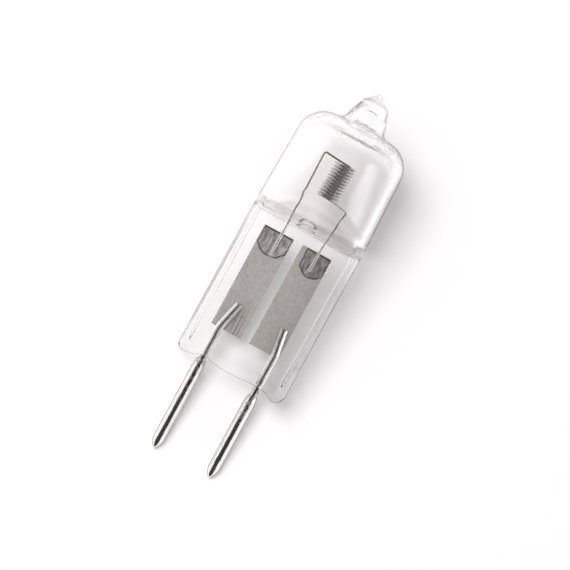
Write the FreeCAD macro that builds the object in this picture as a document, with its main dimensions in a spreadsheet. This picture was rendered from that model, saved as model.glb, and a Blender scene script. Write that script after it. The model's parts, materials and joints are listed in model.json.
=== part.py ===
import FreeCAD, Part
import math
import os
import re

import Sketcher
from FreeCAD import Placement, Rotation, Vector

# Halogen capsule bulb with two contact pins, in millimetres.
# The lamp is drawn upright: X across the flat pinch, Y through its thickness and Z along the lamp,
# with Z = 0 at the foot of the pinch. It is then laid on its side, as it comes to rest on a table:
# the lamp's -Y face looks up and its exhaust tip points along +X.

SIZES = [
    ("pinch_half_width", 6.15, "half the width of the pinch, and the radius of the tube above it"),
    ("taper_start_rise", 0.7, "height above the jaws where the tube starts to narrow"),
    ("shoulder_radius", 5.9, "outer radius where the tube turns into the dome"),
    ("shoulder_rise", 8.6, "height of that turn above the jaws"),
    ("wall_thickness", 1.1, "quartz wall of the tube and dome"),
    ("tip_root_radius", 2.1, "radius of the exhaust tip where it leaves the dome"),
    ("tip_root_round", 0.9, "hollow round between the dome and the exhaust tip"),
    ("tip_length", 1.55, "length of the tip from its root to its upper edge"),
    ("tip_shoulder_radius", 1.62, "radius of the tip at that edge"),
    ("tip_cap_radius", 0.9, "radius of the cap on the tip"),
    ("tip_cap_rise", 0.61, "height of the cap's rim above the tip's upper edge"),
    ("nipple_foot_rise", 0.59, "height from the cap's rim to the nipple"),
    ("nipple_radius", 0.22, "radius of the drawn-off nipple"),
    ("nipple_length", 0.5, "length of the nipple"),
    ("funnel_radius", 0.8, "radius of the hollow inside the exhaust tip"),
    ("funnel_length", 3.0, "depth of that hollow above the dome's inside"),
    ("rib_half_thickness", 2.0, "half the pinch's thickness at its side ribs"),
    ("web_half_thickness", 1.65, "half the pinch's thickness between the ribs"),
    ("rib_width", 0.8, "width of a side rib"),
    ("web_foot_height", 1.0, "foot of the thinner web"),
    ("jaw_height", 16.8, "height that the pinching jaws reach on the ribs"),
    ("jaw_slope", 35, "angle between the glass above the jaws and the level, in degrees"),
    ("jaw_heel_round", 0.8, "round between the pinch face and the slope above it"),
    ("edge_round", 0.4, "round where that slope meets the tube, and along the ribs' outer edges"),
    ("gas_floor_round", 0.6, "round at the bottom of the gas space"),
    ("bead_radius", 1.18, "radius of the glass bead on the floor of the gas space"),
    ("bead_rise", 0.55, "height of that bead above the floor"),
    ("bead_offset", 0.25, "distance of the bead to the left of the middle"),
    ("web_corner_round", 0.3, "round of the web's lower corners"),
    ("foot_left_round", 0.8, "round of the pinch's lower left corner"),
    ("foot_left_drop", 0.2, "how far that corner hangs below the foot"),
    ("foot_right_round", 1.15, "round of the pinch's lower right corner"),
    ("foot_right_drop", 0.5, "how far that corner hangs below the foot"),
    ("foot_middle_rise", 0.15, "height of the foot's edge on the pins' inner sides"),
    ("foot_middle_round", 13.0, "round of the foot between the pins"),
    ("meniscus_half_width", 0.9, "half the width over which the glass draws up round a pin"),
    ("meniscus_round", 1.4, "hollow that the glass leaves round the left pin"),
    ("pin_spacing", 6.35, "distance between the axes of the two pins"),
    ("pin_radius", 0.625, "radius of a contact sleeve"),
    ("pin_end_depth", 10.31, "distance from the foot to the pins' ends"),
    ("pin_ogive_round", 2.0, "side round of a sleeve's point"),
    ("pin_end_radius", 0.09, "radius of the flat at the very end of a sleeve"),
    ("pin_left_top", -0.1, "height of the left sleeve's mouth"),
    ("pin_right_top", -0.9, "height of the right sleeve's mouth"),
    ("pin_mouth_wall", 0.07, "wall of a sleeve at its mouth"),
    ("pin_shoulder_length", 1.1, "length over which the mouth widens to the full sleeve"),
    ("pin_bore_depth", 5.0, "depth of the bore that takes the lead"),
    ("pin_bore_gap", 0.02, "gap between the lead and the sleeve's bore, all round"),
    ("lead_radius", 0.4, "radius of an outer lead"),
    ("lead_crank_height", 3.7, "height where the leads turn inwards"),
    ("lead_left_top", 6.7, "height of the left lead's welded end"),
    ("lead_right_top", 6.6, "height of the right lead's welded end"),
    ("lead_left_inset", 0.72, "how far the left lead's end stands in from its pin"),
    ("lead_right_inset", 0.45, "how far the right lead's end stands in from its pin"),
    ("capillary_gap", 0.035, "gap between a lead or leg and the quartz, all round"),
    ("foil_width", 3.35, "width of a sealing foil"),
    ("foil_thickness", 0.03, "thickness of a foil"),
    ("foil_feather", 0.5, "width of a foil's thinned edge"),
    ("foil_foot_height", 3.6, "lower end of the foils"),
    ("foil_top_depth", 1.76, "depth of the foils' upper ends below the jaws' height"),
    ("foil_left_offset", 2.42, "distance of the left foil's middle from the lamp's axis"),
    ("foil_right_offset", 1.95, "distance of the right foil's middle from the lamp's axis"),
    ("void_depth", 0.08, "depth of the unbonded pocket in front of each foil"),
    ("void_left_half_width", 1.62, "half the width of the left pocket"),
    ("void_right_half_width", 1.38, "half the width of the right pocket"),
    ("void_side_length", 1.54, "length of the pockets' straight sides, down from the foils' ends"),
    ("void_sag", 1.2, "how far the pockets' rounded feet hang below these sides"),
    ("void_right_shift", 0.3, "how far the right pocket stands outwards on its foil"),
    ("filament_wire_width", 0.18, "side of the tungsten wire's square section"),
    ("coil_radius", 1.05, "radius of the coil to the middle of its wire"),
    ("coil_pitch", 0.343, "rise of the coil in one turn"),
    ("coil_turns", 12, "number of turns"),
    ("coil_top_rise", 7.4, "height of the coil's uppermost front wire above the jaws"),
    ("coil_offset", 0.2, "distance of the coil's middle from the lamp's axis"),
    ("coil_lean", 1.8, "lean of the coil to the right, in degrees"),
    ("leg_bend_round", 0.25, "radius of the bend at the top of each leg"),
    ("leg_set_round", 1.0, "radius of the bend that lays a leg against its foil"),
    ("leg_left_offset", 2.25, "distance of the left leg's bend from the lamp's axis"),
    ("leg_right_offset", 2.55, "distance of the right leg's bend from the lamp's axis"),
    ("weld_left_offset", 2.12, "distance of the left leg's weld from the lamp's axis"),
    ("weld_right_offset", 2.12, "distance of the right leg's weld from the lamp's axis"),
    ("weld_length", 2.04, "length of a leg below its foil's upper end"),
    ("leg_set_rise", 0.46, "height above the foils where the legs come to lie against them"),
]

doc = FreeCAD.newDocument("capsule_bulb")
sheet = doc.addObject("Spreadsheet::Sheet", "Sizes")
for row, (alias, value, meaning) in enumerate(SIZES, start=1):
    sheet.set(f"A{row}", alias)
    sheet.set(f"B{row}", str(value))
    sheet.setAlias(f"B{row}", alias)
    sheet.set(f"C{row}", meaning)
doc.recompute()


def bound(formula):
    """A formula in the sheet's names, written as FreeCAD binds it."""
    return re.sub(r"[a-z]+(?:_[a-z]+)+", lambda word: "Sizes." + word.group(), formula)


def size(formula):
    """The present value of such a formula, as a plain number."""
    return float(sheet.evalExpression(bound(formula)))


# Heights that several pieces share.

shoulder_at = "(jaw_height + shoulder_rise)"
shoulder_round = "(shoulder_radius - tip_root_radius - tip_root_round)"
tip_root_at = f"({shoulder_at} + {shoulder_round} + tip_root_round)"
cap_at = f"({tip_root_at} + tip_length + tip_cap_rise)"
tip_end = f"({cap_at} + nipple_foot_rise + nipple_length)"
foil_top = "(jaw_height - foil_top_depth)"


# The lamp's resting place.
# Lying down, it touches the table with the rim of the tube, at the front and back of the lamp's round
# above the pinch, and with the points of both pins. In the lamp's YZ plane these are two circles,
# and the table is the line that touches both.

def rim_circle():
    """Centre (y, z) of the round between the jaw slope and the tube's wall, in the plane X = 0."""
    slope = math.tan(math.radians(size("jaw_slope")))
    taper = size("(pinch_half_width - shoulder_radius) / (shoulder_rise - taper_start_rise)")
    # Both lines are moved inwards by the round, and the centre is where they cross.
    slope_start = size("jaw_height + edge_round / cos(jaw_slope) - rib_half_thickness * tan(jaw_slope)")
    wall_start = (size("pinch_half_width") + size("jaw_height + taper_start_rise") * taper
                  - size("edge_round") * math.hypot(1, taper))
    height = (slope_start + wall_start * slope) / (1 + taper * slope)
    return wall_start - height * taper, height


def ogive_start():
    """Height where a sleeve's straight side turns into its point."""
    return size("-pin_end_depth"
                " + sqrt(pin_ogive_round^2 - (pin_ogive_round - pin_radius + pin_end_radius)^2)")


rim_y, rim_z = rim_circle()
ogive_y, ogive_z = size("pin_radius - pin_ogive_round"), ogive_start()
reach = math.hypot(rim_y - ogive_y, rim_z - ogive_z)
lie_angle = (math.acos(size("pin_ogive_round - edge_round") / reach)
             - math.atan2(rim_z - ogive_z, rim_y - ogive_y))
axis_height = size("edge_round") + rim_y * math.cos(lie_angle) - rim_z * math.sin(lie_angle)
tip_reach = size(tip_end) * math.cos(lie_angle) + size("nipple_radius") * math.sin(lie_angle)
pin_reach = size("pin_end_depth") * math.cos(lie_angle) + size("pin_end_radius") * math.sin(lie_angle)

across = Vector(0, -1, 0)
through = Vector(math.sin(lie_angle), 0, -math.cos(lie_angle))
along = Vector(math.cos(lie_angle), 0, math.sin(lie_angle))
laid_down = Placement(Vector((pin_reach - tip_reach) / 2, 0, axis_height),
                      Rotation(across, through, along, "ZXY"))
print(f"lies at {math.degrees(lie_angle):.3f} degrees, origin at {laid_down.Base}")


# Drawing.

def new_body(label, place=Vector(0, 0, 0)):
    body = doc.addObject("PartDesign::Body", label)
    body.Placement = laid_down * Placement(place, Rotation())
    return body


def new_sketch(body, role, name):
    sketch = body.newObject("Sketcher::SketchObject", name)
    plane = next(item for item in body.Origin.OriginFeatures if item.Role == role)
    sketch.AttachmentSupport = (plane, "")
    sketch.MapMode = "FlatFace"
    return sketch


def hold(sketch, kind, edge, end, formula):
    """Hold one coordinate of a corner at a formula."""
    if formula == "0":
        axis = -2 if kind == "DistanceX" else -1
        sketch.addConstraint(Sketcher.Constraint("PointOnObject", edge, end, axis))
        return
    index = sketch.addConstraint(Sketcher.Constraint(kind, -1, 1, edge, end, size(formula)))
    sketch.setExpression(f"Constraints[{index}]", bound(formula))


def arc_between(start, end, radius, turn):
    """The shorter arc from start to end, which turns left if turn is 1 and right if it is -1."""
    half = (end - start) * 0.5
    normal = Vector(-half.y, half.x, 0).normalize()
    centre = start + half + normal * (turn * math.sqrt(radius ** 2 - half.Length ** 2))
    first, last = (start, end) if turn > 0 else (end, start)
    angles = [math.atan2(point.y - centre.y, point.x - centre.x) for point in (first, last)]
    return Part.ArcOfCircle(Part.Circle(centre, Vector(0, 0, 1), radius), *angles)


def draw(sketch, corners, closed=True):
    """Draw an outline of lines and arcs.

    A corner is (across, up), or (across, up, radius, turn) where an arc leads on from it.
    """
    first_edge = sketch.GeometryCount
    points = [Vector(size(corner[0]), size(corner[1]), 0) for corner in corners]
    count = len(corners) if closed else len(corners) - 1
    ends = []
    for number in range(count):
        start, end = points[number], points[(number + 1) % len(points)]
        corner = corners[number]
        if len(corner) == 2:
            sketch.addGeometry(Part.LineSegment(start, end))
            ends.append((1, 2))
        else:
            sketch.addGeometry(arc_between(start, end, size(corner[2]), corner[3]))
            ends.append((1, 2) if corner[3] > 0 else (2, 1))
    for number in range(count):
        edge = first_edge + number
        following = (number + 1) % count
        if closed or number + 1 < count:
            sketch.addConstraint(Sketcher.Constraint(
                "Coincident", edge, ends[number][1], first_edge + following, ends[following][0]))
        hold(sketch, "DistanceX", edge, ends[number][0], corners[number][0])
        hold(sketch, "DistanceY", edge, ends[number][0], corners[number][1])
        if len(corners[number]) == 4:
            index = sketch.addConstraint(Sketcher.Constraint("Radius", edge, size(corners[number][2])))
            sketch.setExpression(f"Constraints[{index}]", bound(corners[number][2]))
    if not closed:
        hold(sketch, "DistanceX", first_edge + count - 1, ends[-1][1], corners[-1][0])
        hold(sketch, "DistanceY", first_edge + count - 1, ends[-1][1], corners[-1][1])


def revolve(body, name, corners):
    sketch = new_sketch(body, "XZ_Plane", name + "_profile")
    draw(sketch, corners)
    feature = body.newObject("PartDesign::Revolution", name)
    feature.Profile = sketch
    feature.ReferenceAxis = (sketch, ["V_Axis"])
    feature.Angle = 360
    return feature


def cut_through(body, name, role, outlines, half_length=None):
    """Cut outlines right through a body, or to a half length each side of the sketch plane."""
    sketch = new_sketch(body, role, name + "_profile")
    for corners in outlines:
        draw(sketch, corners)
    feature = body.newObject("PartDesign::Pocket", name)
    feature.Profile = sketch
    feature.SideType = "Symmetric"
    if half_length is None:
        feature.Type = "ThroughAll"
    else:
        feature.Type = "Length"
        feature.setExpression("Length", bound(f"2 * ({half_length})"))
    return feature


def mirrored(corners):
    """The same outline on the other side of the sketch's upright axis."""
    return [("-(" + corner[0] + ")", corner[1]) + tuple(
        (corner[2], -corner[3]) if len(corner) == 4 else ()) for corner in corners]


# Quartz envelope: one tube, blown to a dome with a sealed-off exhaust tip, and pinched flat at its foot.

tube_end = "-2 * foot_right_drop"
below = "-3 * foot_right_drop"
outside = "pinch_half_width + wall_thickness"

envelope = new_body("quartz_blank")
revolve(envelope, "blown_tube", [
    ("0", tube_end),
    ("pinch_half_width", tube_end),
    ("pinch_half_width", "jaw_height + taper_start_rise"),
    ("shoulder_radius", shoulder_at, shoulder_round, 1),
    ("tip_root_radius + tip_root_round", f"{shoulder_at} + {shoulder_round}"),
    ("tip_root_radius + tip_root_round * (1 - cos(45))", f"{tip_root_at} - tip_root_round * sin(45)"),
    ("tip_root_radius", tip_root_at),
    ("tip_shoulder_radius", f"{tip_root_at} + tip_length"),
    ("tip_cap_radius", cap_at),
    ("nipple_radius", f"{cap_at} + nipple_foot_rise"),
    ("nipple_radius", tip_end),
    ("0", tip_end),
])

# The jaws leave a rib down each side of the pinch and press the web between the ribs thinner.
jaw_outline = [
    ("rib_half_thickness", below),
    (outside, below),
    (outside, f"jaw_height + ({outside} - rib_half_thickness) * tan(jaw_slope)"),
    ("rib_half_thickness", "jaw_height"),
]
cut_through(envelope, "pinch_jaws", "YZ_Plane", [jaw_outline, mirrored(jaw_outline)])

web_depth = "(rib_half_thickness - web_half_thickness)"
web_outline = [
    ("web_half_thickness", "web_foot_height"),
    (f"rib_half_thickness + {web_depth}", "web_foot_height"),
    (f"rib_half_thickness + {web_depth}", f"jaw_height + {web_depth} * tan(jaw_slope)"),
    ("web_half_thickness", f"jaw_height - {web_depth} * tan(jaw_slope)"),
]
cut_through(envelope, "thin_web", "YZ_Plane", [web_outline, mirrored(web_outline)],
            "pinch_half_width - rib_width")

# The foot's edge hangs lower at its corners and draws up round the pins.
cut_through(envelope, "pressed_foot", "XZ_Plane", [[
    (outside, below),
    (outside, "foot_right_round - foot_right_drop"),
    ("pinch_half_width", "foot_right_round - foot_right_drop", "foot_right_round", -1),
    ("pinch_half_width - foot_right_round", "-foot_right_drop"),
    ("pin_spacing / 2 + meniscus_half_width", "0"),
    ("pin_spacing / 2 - meniscus_half_width", "foot_middle_rise", "foot_middle_round", -1),
    ("-pin_spacing / 2 + meniscus_half_width", "foot_middle_rise", "meniscus_round", 1),
    ("-pin_spacing / 2 - meniscus_half_width", "0"),
    ("-pinch_half_width + foot_left_round", "-foot_left_drop", "foot_left_round", -1),
    ("-pinch_half_width", "foot_left_round - foot_left_drop"),
    (f"-({outside})", "foot_left_round - foot_left_drop"),
    (f"-({outside})", below),
]])


def round_edges(body, name, radius, chosen):
    """Round those edges of a body that the test chosen picks by their curve and middle point."""
    doc.recompute()
    base = body.Tip
    names = []
    for number, edge in enumerate(base.Shape.Edges, start=1):
        if edge.Degenerated:
            continue
        middle = edge.valueAt((edge.FirstParameter + edge.LastParameter) / 2)
        if chosen(edge, middle):
            names.append(f"Edge{number}")
    feature = body.newObject("PartDesign::Fillet", name)
    feature.Base = (base, names)
    feature.Radius = size(radius)
    feature.setExpression("Radius", bound(radius))


def near(value, formula):
    return abs(abs(value) - size(formula)) < 1e-4


rib_edge = "sqrt(pinch_half_width^2 - rib_half_thickness^2)"
round_edges(envelope, "soft_edges", "edge_round", lambda edge, middle: (
    edge.Curve.TypeId == "Part::GeomEllipse"
    or (near(middle.y, "rib_half_thickness") and near(middle.x, rib_edge))))
round_edges(envelope, "web_corners", "web_corner_round", lambda edge, middle: (
    near(middle.x, "pinch_half_width - rib_width") and near(middle.z, "web_foot_height")))
round_edges(envelope, "jaw_heels", "jaw_heel_round", lambda edge, middle: (
    near(middle.y, "web_half_thickness") and near(middle.x, "0")
    and near(middle.z, f"jaw_height - {web_depth} * tan(jaw_slope)")))


# The gas space inside keeps the wall's thickness from the outside, and ends in a rounded valley
# between the two jaw slopes, with a small bead of glass in its middle.

gas_space = new_body("gas_space")
crown = f"({shoulder_at} + {shoulder_round} - wall_thickness)"
# The bevel touches the round that would keep the wall's thickness.
inner_bevel = f"(({shoulder_round} - wall_thickness) * (2 - sqrt(2)))"
revolve(gas_space, "blown_hollow", [
    ("0", "jaw_height - rib_half_thickness"),
    ("shoulder_radius - wall_thickness", "jaw_height - rib_half_thickness"),
    ("shoulder_radius - wall_thickness", f"{crown} - {inner_bevel}"),
    (f"shoulder_radius - wall_thickness - {inner_bevel}", crown),
    ("funnel_radius", crown),
    ("funnel_radius", f"{crown} + funnel_length"),
    ("0", f"{crown} + funnel_length"),
])
valley = "(jaw_height - rib_half_thickness * tan(jaw_slope) + wall_thickness / cos(jaw_slope))"
valley_side = "gas_floor_round * sin(jaw_slope)"
valley_bend = f"{valley} + gas_floor_round * (1 / cos(jaw_slope) - cos(jaw_slope))"
gas_floor = f"({valley} + gas_floor_round * (1 / cos(jaw_slope) - 1))"
cut_through(gas_space, "squeezed_floor", "YZ_Plane", [[
    ("-pinch_half_width", "jaw_height - pinch_half_width"),
    ("pinch_half_width", "jaw_height - pinch_half_width"),
    ("pinch_half_width", f"{valley} + pinch_half_width * tan(jaw_slope)"),
    (valley_side, valley_bend, "gas_floor_round", -1),
    ("-" + valley_side, valley_bend),
    ("-pinch_half_width", f"{valley} + pinch_half_width * tan(jaw_slope)"),
]])

bead = doc.addObject("Part::Sphere", "floor_bead")
bead.setExpression("Radius", bound("bead_radius"))
bead.Placement = laid_down * Placement(
    Vector(-size("bead_offset"), 0, size(f"{gas_floor} + bead_rise - bead_radius")), Rotation())
gas = doc.addObject("Part::Cut", "gas_over_bead")
gas.Base, gas.Tool = gas_space, bead
hollows = [gas]


# Outer leads: molybdenum rods that come straight up out of the sleeves and turn in towards the foils.
# The quartz never bonds to so thick a rod, so a fine capillary is left round each.

def lead(label, side, radius):
    """A rod, or the capillary round it, along the lead's cranked path."""
    outward = -1 if side == "left" else 1
    body = new_body(label, Vector(outward * size("pin_spacing / 2"), 0, 0))
    foot = f"pin_{side}_top - pin_bore_depth + pin_bore_gap"
    path = new_sketch(body, "XZ_Plane", label + "_path")
    draw(path, [
        ("0", foot),
        ("0", "lead_crank_height"),
        (f"{-outward} * lead_{side}_inset", f"lead_{side}_top"),
    ], closed=False)
    section = new_sketch(body, "XY_Plane", label + "_section")
    section.addGeometry(Part.Circle(Vector(0, 0, 0), Vector(0, 0, 1), size(radius)))
    section.addConstraint(Sketcher.Constraint("Coincident", 0, 3, -1, 1))
    index = section.addConstraint(Sketcher.Constraint("Radius", 0, size(radius)))
    section.setExpression(f"Constraints[{index}]", bound(radius))
    section.setExpression(".AttachmentOffset.Base.z", bound(foot))
    pipe = body.newObject("PartDesign::AdditivePipe", label + "_rod")
    pipe.Profile = section
    pipe.Spine = path
    pipe.Transition = "Right corner"
    return body


# Sealing foils: molybdenum strips rolled thin, with feathered edges that the quartz grips.
# The leads and the filament's legs lie on their front faces.

def foil(side):
    outward = -1 if side == "left" else 1
    body = new_body(f"foil_{side}", Vector(
        outward * size(f"foil_{side}_offset"), size("lead_radius + foil_thickness / 2"),
        size("foil_foot_height")))
    section = new_sketch(body, "XY_Plane", f"foil_{side}_section")
    flat = "(foil_width / 2 - foil_feather)"
    draw(section, [
        ("-foil_width / 2", "0"),
        ("-" + flat, "-foil_thickness / 2"),
        (flat, "-foil_thickness / 2"),
        ("foil_width / 2", "0"),
        (flat, "foil_thickness / 2"),
        ("-" + flat, "foil_thickness / 2"),
    ])
    strip = body.newObject("PartDesign::Pad", f"foil_{side}_strip")
    strip.Profile = section
    strip.setExpression("Length", bound(f"{foil_top} - foil_foot_height"))
    return body


def unbonded_pocket(side):
    """The D-shaped pocket round a leg's weld, where the quartz stands off the foil's front face."""
    outward = -1 if side == "left" else 1
    shift = "void_right_shift" if side == "right" else "0"
    body = new_body(f"pocket_{side}", Vector(
        outward * size(f"foil_{side}_offset + {shift}"), size("lead_radius + foil_thickness / 2"), 0))
    half = f"void_{side}_half_width"
    side_foot = f"({foil_top} - void_side_length)"
    section = new_sketch(body, "XZ_Plane", f"pocket_{side}_outline")
    draw(section, [
        (half, side_foot),
        (half, foil_top),
        ("-" + half, foil_top),
        ("-" + half, side_foot, f"({half}^2 + void_sag^2) / (2 * void_sag)", 1),
    ])
    pocket = body.newObject("PartDesign::Pad", f"pocket_{side}_depth")
    pocket.Profile = section
    pocket.setExpression("Length", bound("foil_thickness / 2 + void_depth"))
    return body


# Contact sleeves: plated, bored to take the leads, rounded in at the mouth and drawn to a point.

def sleeve(side):
    outward = -1 if side == "left" else 1
    body = new_body(f"pin_sleeve_{side}", Vector(outward * size("pin_spacing / 2"), 0, 0))
    mouth = f"pin_{side}_top"
    bore = "(lead_radius + pin_bore_gap)"
    point = "sqrt(pin_ogive_round^2 - (pin_ogive_round - pin_radius + pin_end_radius)^2)"
    revolve(body, f"turned_sleeve_{side}", [
        ("0", f"{mouth} - pin_bore_depth"),
        (bore, f"{mouth} - pin_bore_depth"),
        (bore, mouth),
        (f"{bore} + pin_mouth_wall", mouth),
        ("pin_radius", f"{mouth} - pin_shoulder_length"),
        ("pin_radius", f"{point} - pin_end_depth", "pin_ogive_round", -1),
        ("pin_end_radius", "-pin_end_depth"),
        ("0", "-pin_end_depth"),
    ])
    return body


leads = {side: lead(f"outer_lead_{side}", side, "lead_radius") for side in ("left", "right")}
foils = {side: foil(side) for side in ("left", "right")}
sleeves = {side: sleeve(side) for side in ("left", "right")}
for side in ("left", "right"):
    hollows += [lead(f"capillary_{side}", side, "lead_radius + capillary_gap"),
                unbonded_pocket(side), foils[side]]


# Filament: one tungsten wire. The coil is left-handed and leans a little, and both legs leave it
# at the front, turn down and come to lie on the foils.

def rounded_path(points, radii):
    """Lines through the points, with an arc of the given radius at each inner one."""
    edges = []
    start = points[0]
    for before, corner, after, radius in zip(points, points[1:], points[2:], radii):
        back, onward = (before - corner).normalize(), (after - corner).normalize()
        half_turn = (math.pi - back.getAngle(onward)) / 2
        first = corner + back * (radius * math.tan(half_turn))
        last = corner + onward * (radius * math.tan(half_turn))
        inwards = (back + onward).normalize()
        middle = corner + inwards * (radius / math.cos(half_turn) - radius)
        edges += [Part.LineSegment(start, first).toShape(), Part.Arc(first, middle, last).toShape()]
        start = last
    edges.append(Part.LineSegment(start, points[-1]).toShape())
    return Part.Wire(edges)


def square(centre, direction, half_width):
    """A wire's square section across the given direction."""
    turned = Rotation(Vector(0, 0, 1), direction)
    corners = [centre + turned.multVec(Vector(half_width * right, half_width * up, 0))
               for right, up in ((1, 1), (-1, 1), (-1, -1), (1, -1), (1, 1))]
    return Part.makePolygon(corners)


def swept(path, section, curved=False):
    return path.makePipeShell([section], True, curved)


wire_half = size("filament_wire_width") / 2
channel_gap = size("capillary_gap")
coil_turns = round(size("coil_turns"))
coil_height = size("coil_pitch") * coil_turns
helix = Part.makeHelix(size("coil_pitch"), coil_height, size("coil_radius"), 0, True)
helix.rotate(Vector(0, 0, 0), Vector(0, 0, 1), -90)
helix.translate(Vector(0, 0, -coil_height / 2))
uphill = Vector(-2 * math.pi * size("coil_radius"), 0, size("coil_pitch")).normalize()
coil_foot = Vector(0, -size("coil_radius"), -coil_height / 2)
coil_top = coil_foot + Vector(0, 0, coil_height)
coil = swept(Part.Wire(helix.Edges), square(coil_foot, uphill, wire_half), True)
coil_place = Placement(Vector(size("coil_offset"), 0, size("jaw_height + coil_top_rise") - coil_height / 2),
                       Rotation(Vector(0, 1, 0), size("coil_lean")))
coil.Placement = coil_place

leg_depth = size("lead_radius") - wire_half
turns_of_wire = [coil]
for side, outward, end, heading in (("left", -1, coil_top, uphill), ("right", 1, coil_foot, -uphill)):
    start = coil_place.multVec(end)
    direction = coil_place.Rotation.multVec(heading)
    corner = start + direction * ((outward * size(f"leg_{side}_offset") - start.x) / direction.x)
    set_point = Vector(outward * size(f"weld_{side}_offset"), leg_depth, size(f"{foil_top} + leg_set_rise"))
    weld = Vector(set_point.x, leg_depth, size(f"{foil_top} - weld_length"))
    bends = [size("leg_set_round"), size("leg_bend_round")]
    # The quartz leaves a fine channel round the leg, and a little below its end.
    for half, foot in ((wire_half, weld), (wire_half + channel_gap, weld - Vector(0, 0, channel_gap))):
        leg = swept(rounded_path([foot, set_point, corner, start], bends),
                    square(foot, Vector(0, 0, 1), half))
        if half == wire_half:
            turns_of_wire.append(leg)
        else:
            channel = doc.addObject("Part::Feature", f"leg_channel_{side}")
            channel.Shape = leg
            channel.Placement = laid_down
            hollows.append(channel)

filament = doc.addObject("Part::Feature", "filament")
filament.Shape = turns_of_wire[0].multiFuse(turns_of_wire[1:])
filament.Placement = laid_down

inside = doc.addObject("Part::MultiFuse", "hollows_in_the_quartz")
inside.Shapes = hollows
quartz = doc.addObject("Part::Cut", "quartz_envelope")
quartz.Base, quartz.Tool = envelope, inside

doc.recompute()

pieces = [quartz, filament]
for side in ("left", "right"):
    pieces += [foils[side], leads[side], sleeves[side]]

failed = [item.Label for item in doc.Objects if {"Invalid", "Error"} & set(item.State)]
if failed:
    raise RuntimeError(f"not built: {failed}")
for piece in pieces:
    shape = piece.Shape
    if shape.isNull() or not shape.isValid() or len(shape.Solids) != 1:
        raise RuntimeError(f"{piece.Label} is not one valid solid")
    print(f"{piece.Label:18s} {shape.Volume:10.3f} mm3 {len(shape.Faces):4d} faces")

os.makedirs("parts", exist_ok=True)
for piece in pieces:
    piece.Shape.exportStep(f"parts/{piece.Label}.step")
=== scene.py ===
import json
import math
from types import SimpleNamespace

import bmesh
import bpy
from bpy.props import FloatProperty, FloatVectorProperty, IntProperty, PointerProperty
from mathutils import Matrix, Quaternion, Vector


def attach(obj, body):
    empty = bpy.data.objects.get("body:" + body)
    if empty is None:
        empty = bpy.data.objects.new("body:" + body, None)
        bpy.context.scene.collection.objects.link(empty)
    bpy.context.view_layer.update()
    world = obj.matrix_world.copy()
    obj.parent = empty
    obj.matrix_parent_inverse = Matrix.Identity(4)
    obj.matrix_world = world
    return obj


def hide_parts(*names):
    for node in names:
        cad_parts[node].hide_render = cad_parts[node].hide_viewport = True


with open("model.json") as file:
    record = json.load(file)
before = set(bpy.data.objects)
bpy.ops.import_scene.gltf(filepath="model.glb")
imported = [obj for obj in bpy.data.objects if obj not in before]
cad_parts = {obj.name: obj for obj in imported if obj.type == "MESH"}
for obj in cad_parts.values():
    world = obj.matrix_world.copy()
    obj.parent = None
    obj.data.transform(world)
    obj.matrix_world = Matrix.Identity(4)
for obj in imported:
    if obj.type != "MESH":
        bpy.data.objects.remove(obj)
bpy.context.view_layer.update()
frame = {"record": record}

bl_info = {
    "name": "Halogen Capsule Bulb",
    "version": (1, 0, 0),
    "blender": (4, 5, 0),
    "location": "3D View > Sidebar > Capsule Bulb",
    "description": "Dresses the CAD model of a halogen capsule bulb and lights it in a small studio",
    "category": "Object",
}

# The lamp is drawn upright and in millimetres: X across the flat pinch, Y through its thickness with the
# viewer on the -Y side, and Z along the lamp from the foot of the pinch. lamp_matrix lays it down.

MM = 0.001
# Which way along X the lamp's two sides lie.
OUTWARD = {"left": -1, "right": 1}
# Angles of the quarter turn that rounds an edge or an end.
QUARTER_TURN = [math.pi / 2 * i / 6 for i in range(7)]


# Sizes and colours that a user would change

def length(name, millimetres, description):
    return FloatProperty(name=name, description=description, default=millimetres * MM, precision=5,
                         unit="LENGTH", subtype="DISTANCE")


def angle(name, degrees, description):
    return FloatProperty(name=name, description=description, default=math.radians(degrees),
                         unit="ROTATION", subtype="ANGLE")


def linear(colour):
    """An sRGB hex colour as linear red, green and blue."""
    channels = (int(colour[i:i + 2], 16) / 255 for i in (0, 2, 4))
    return tuple(c / 12.92 if c <= 0.04045 else ((c + 0.055) / 1.055) ** 2.4 for c in channels)


def tint(name, colour, description):
    return FloatVectorProperty(name=name, description=description, default=linear(colour),
                               subtype="COLOR", min=0, max=1)


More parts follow.
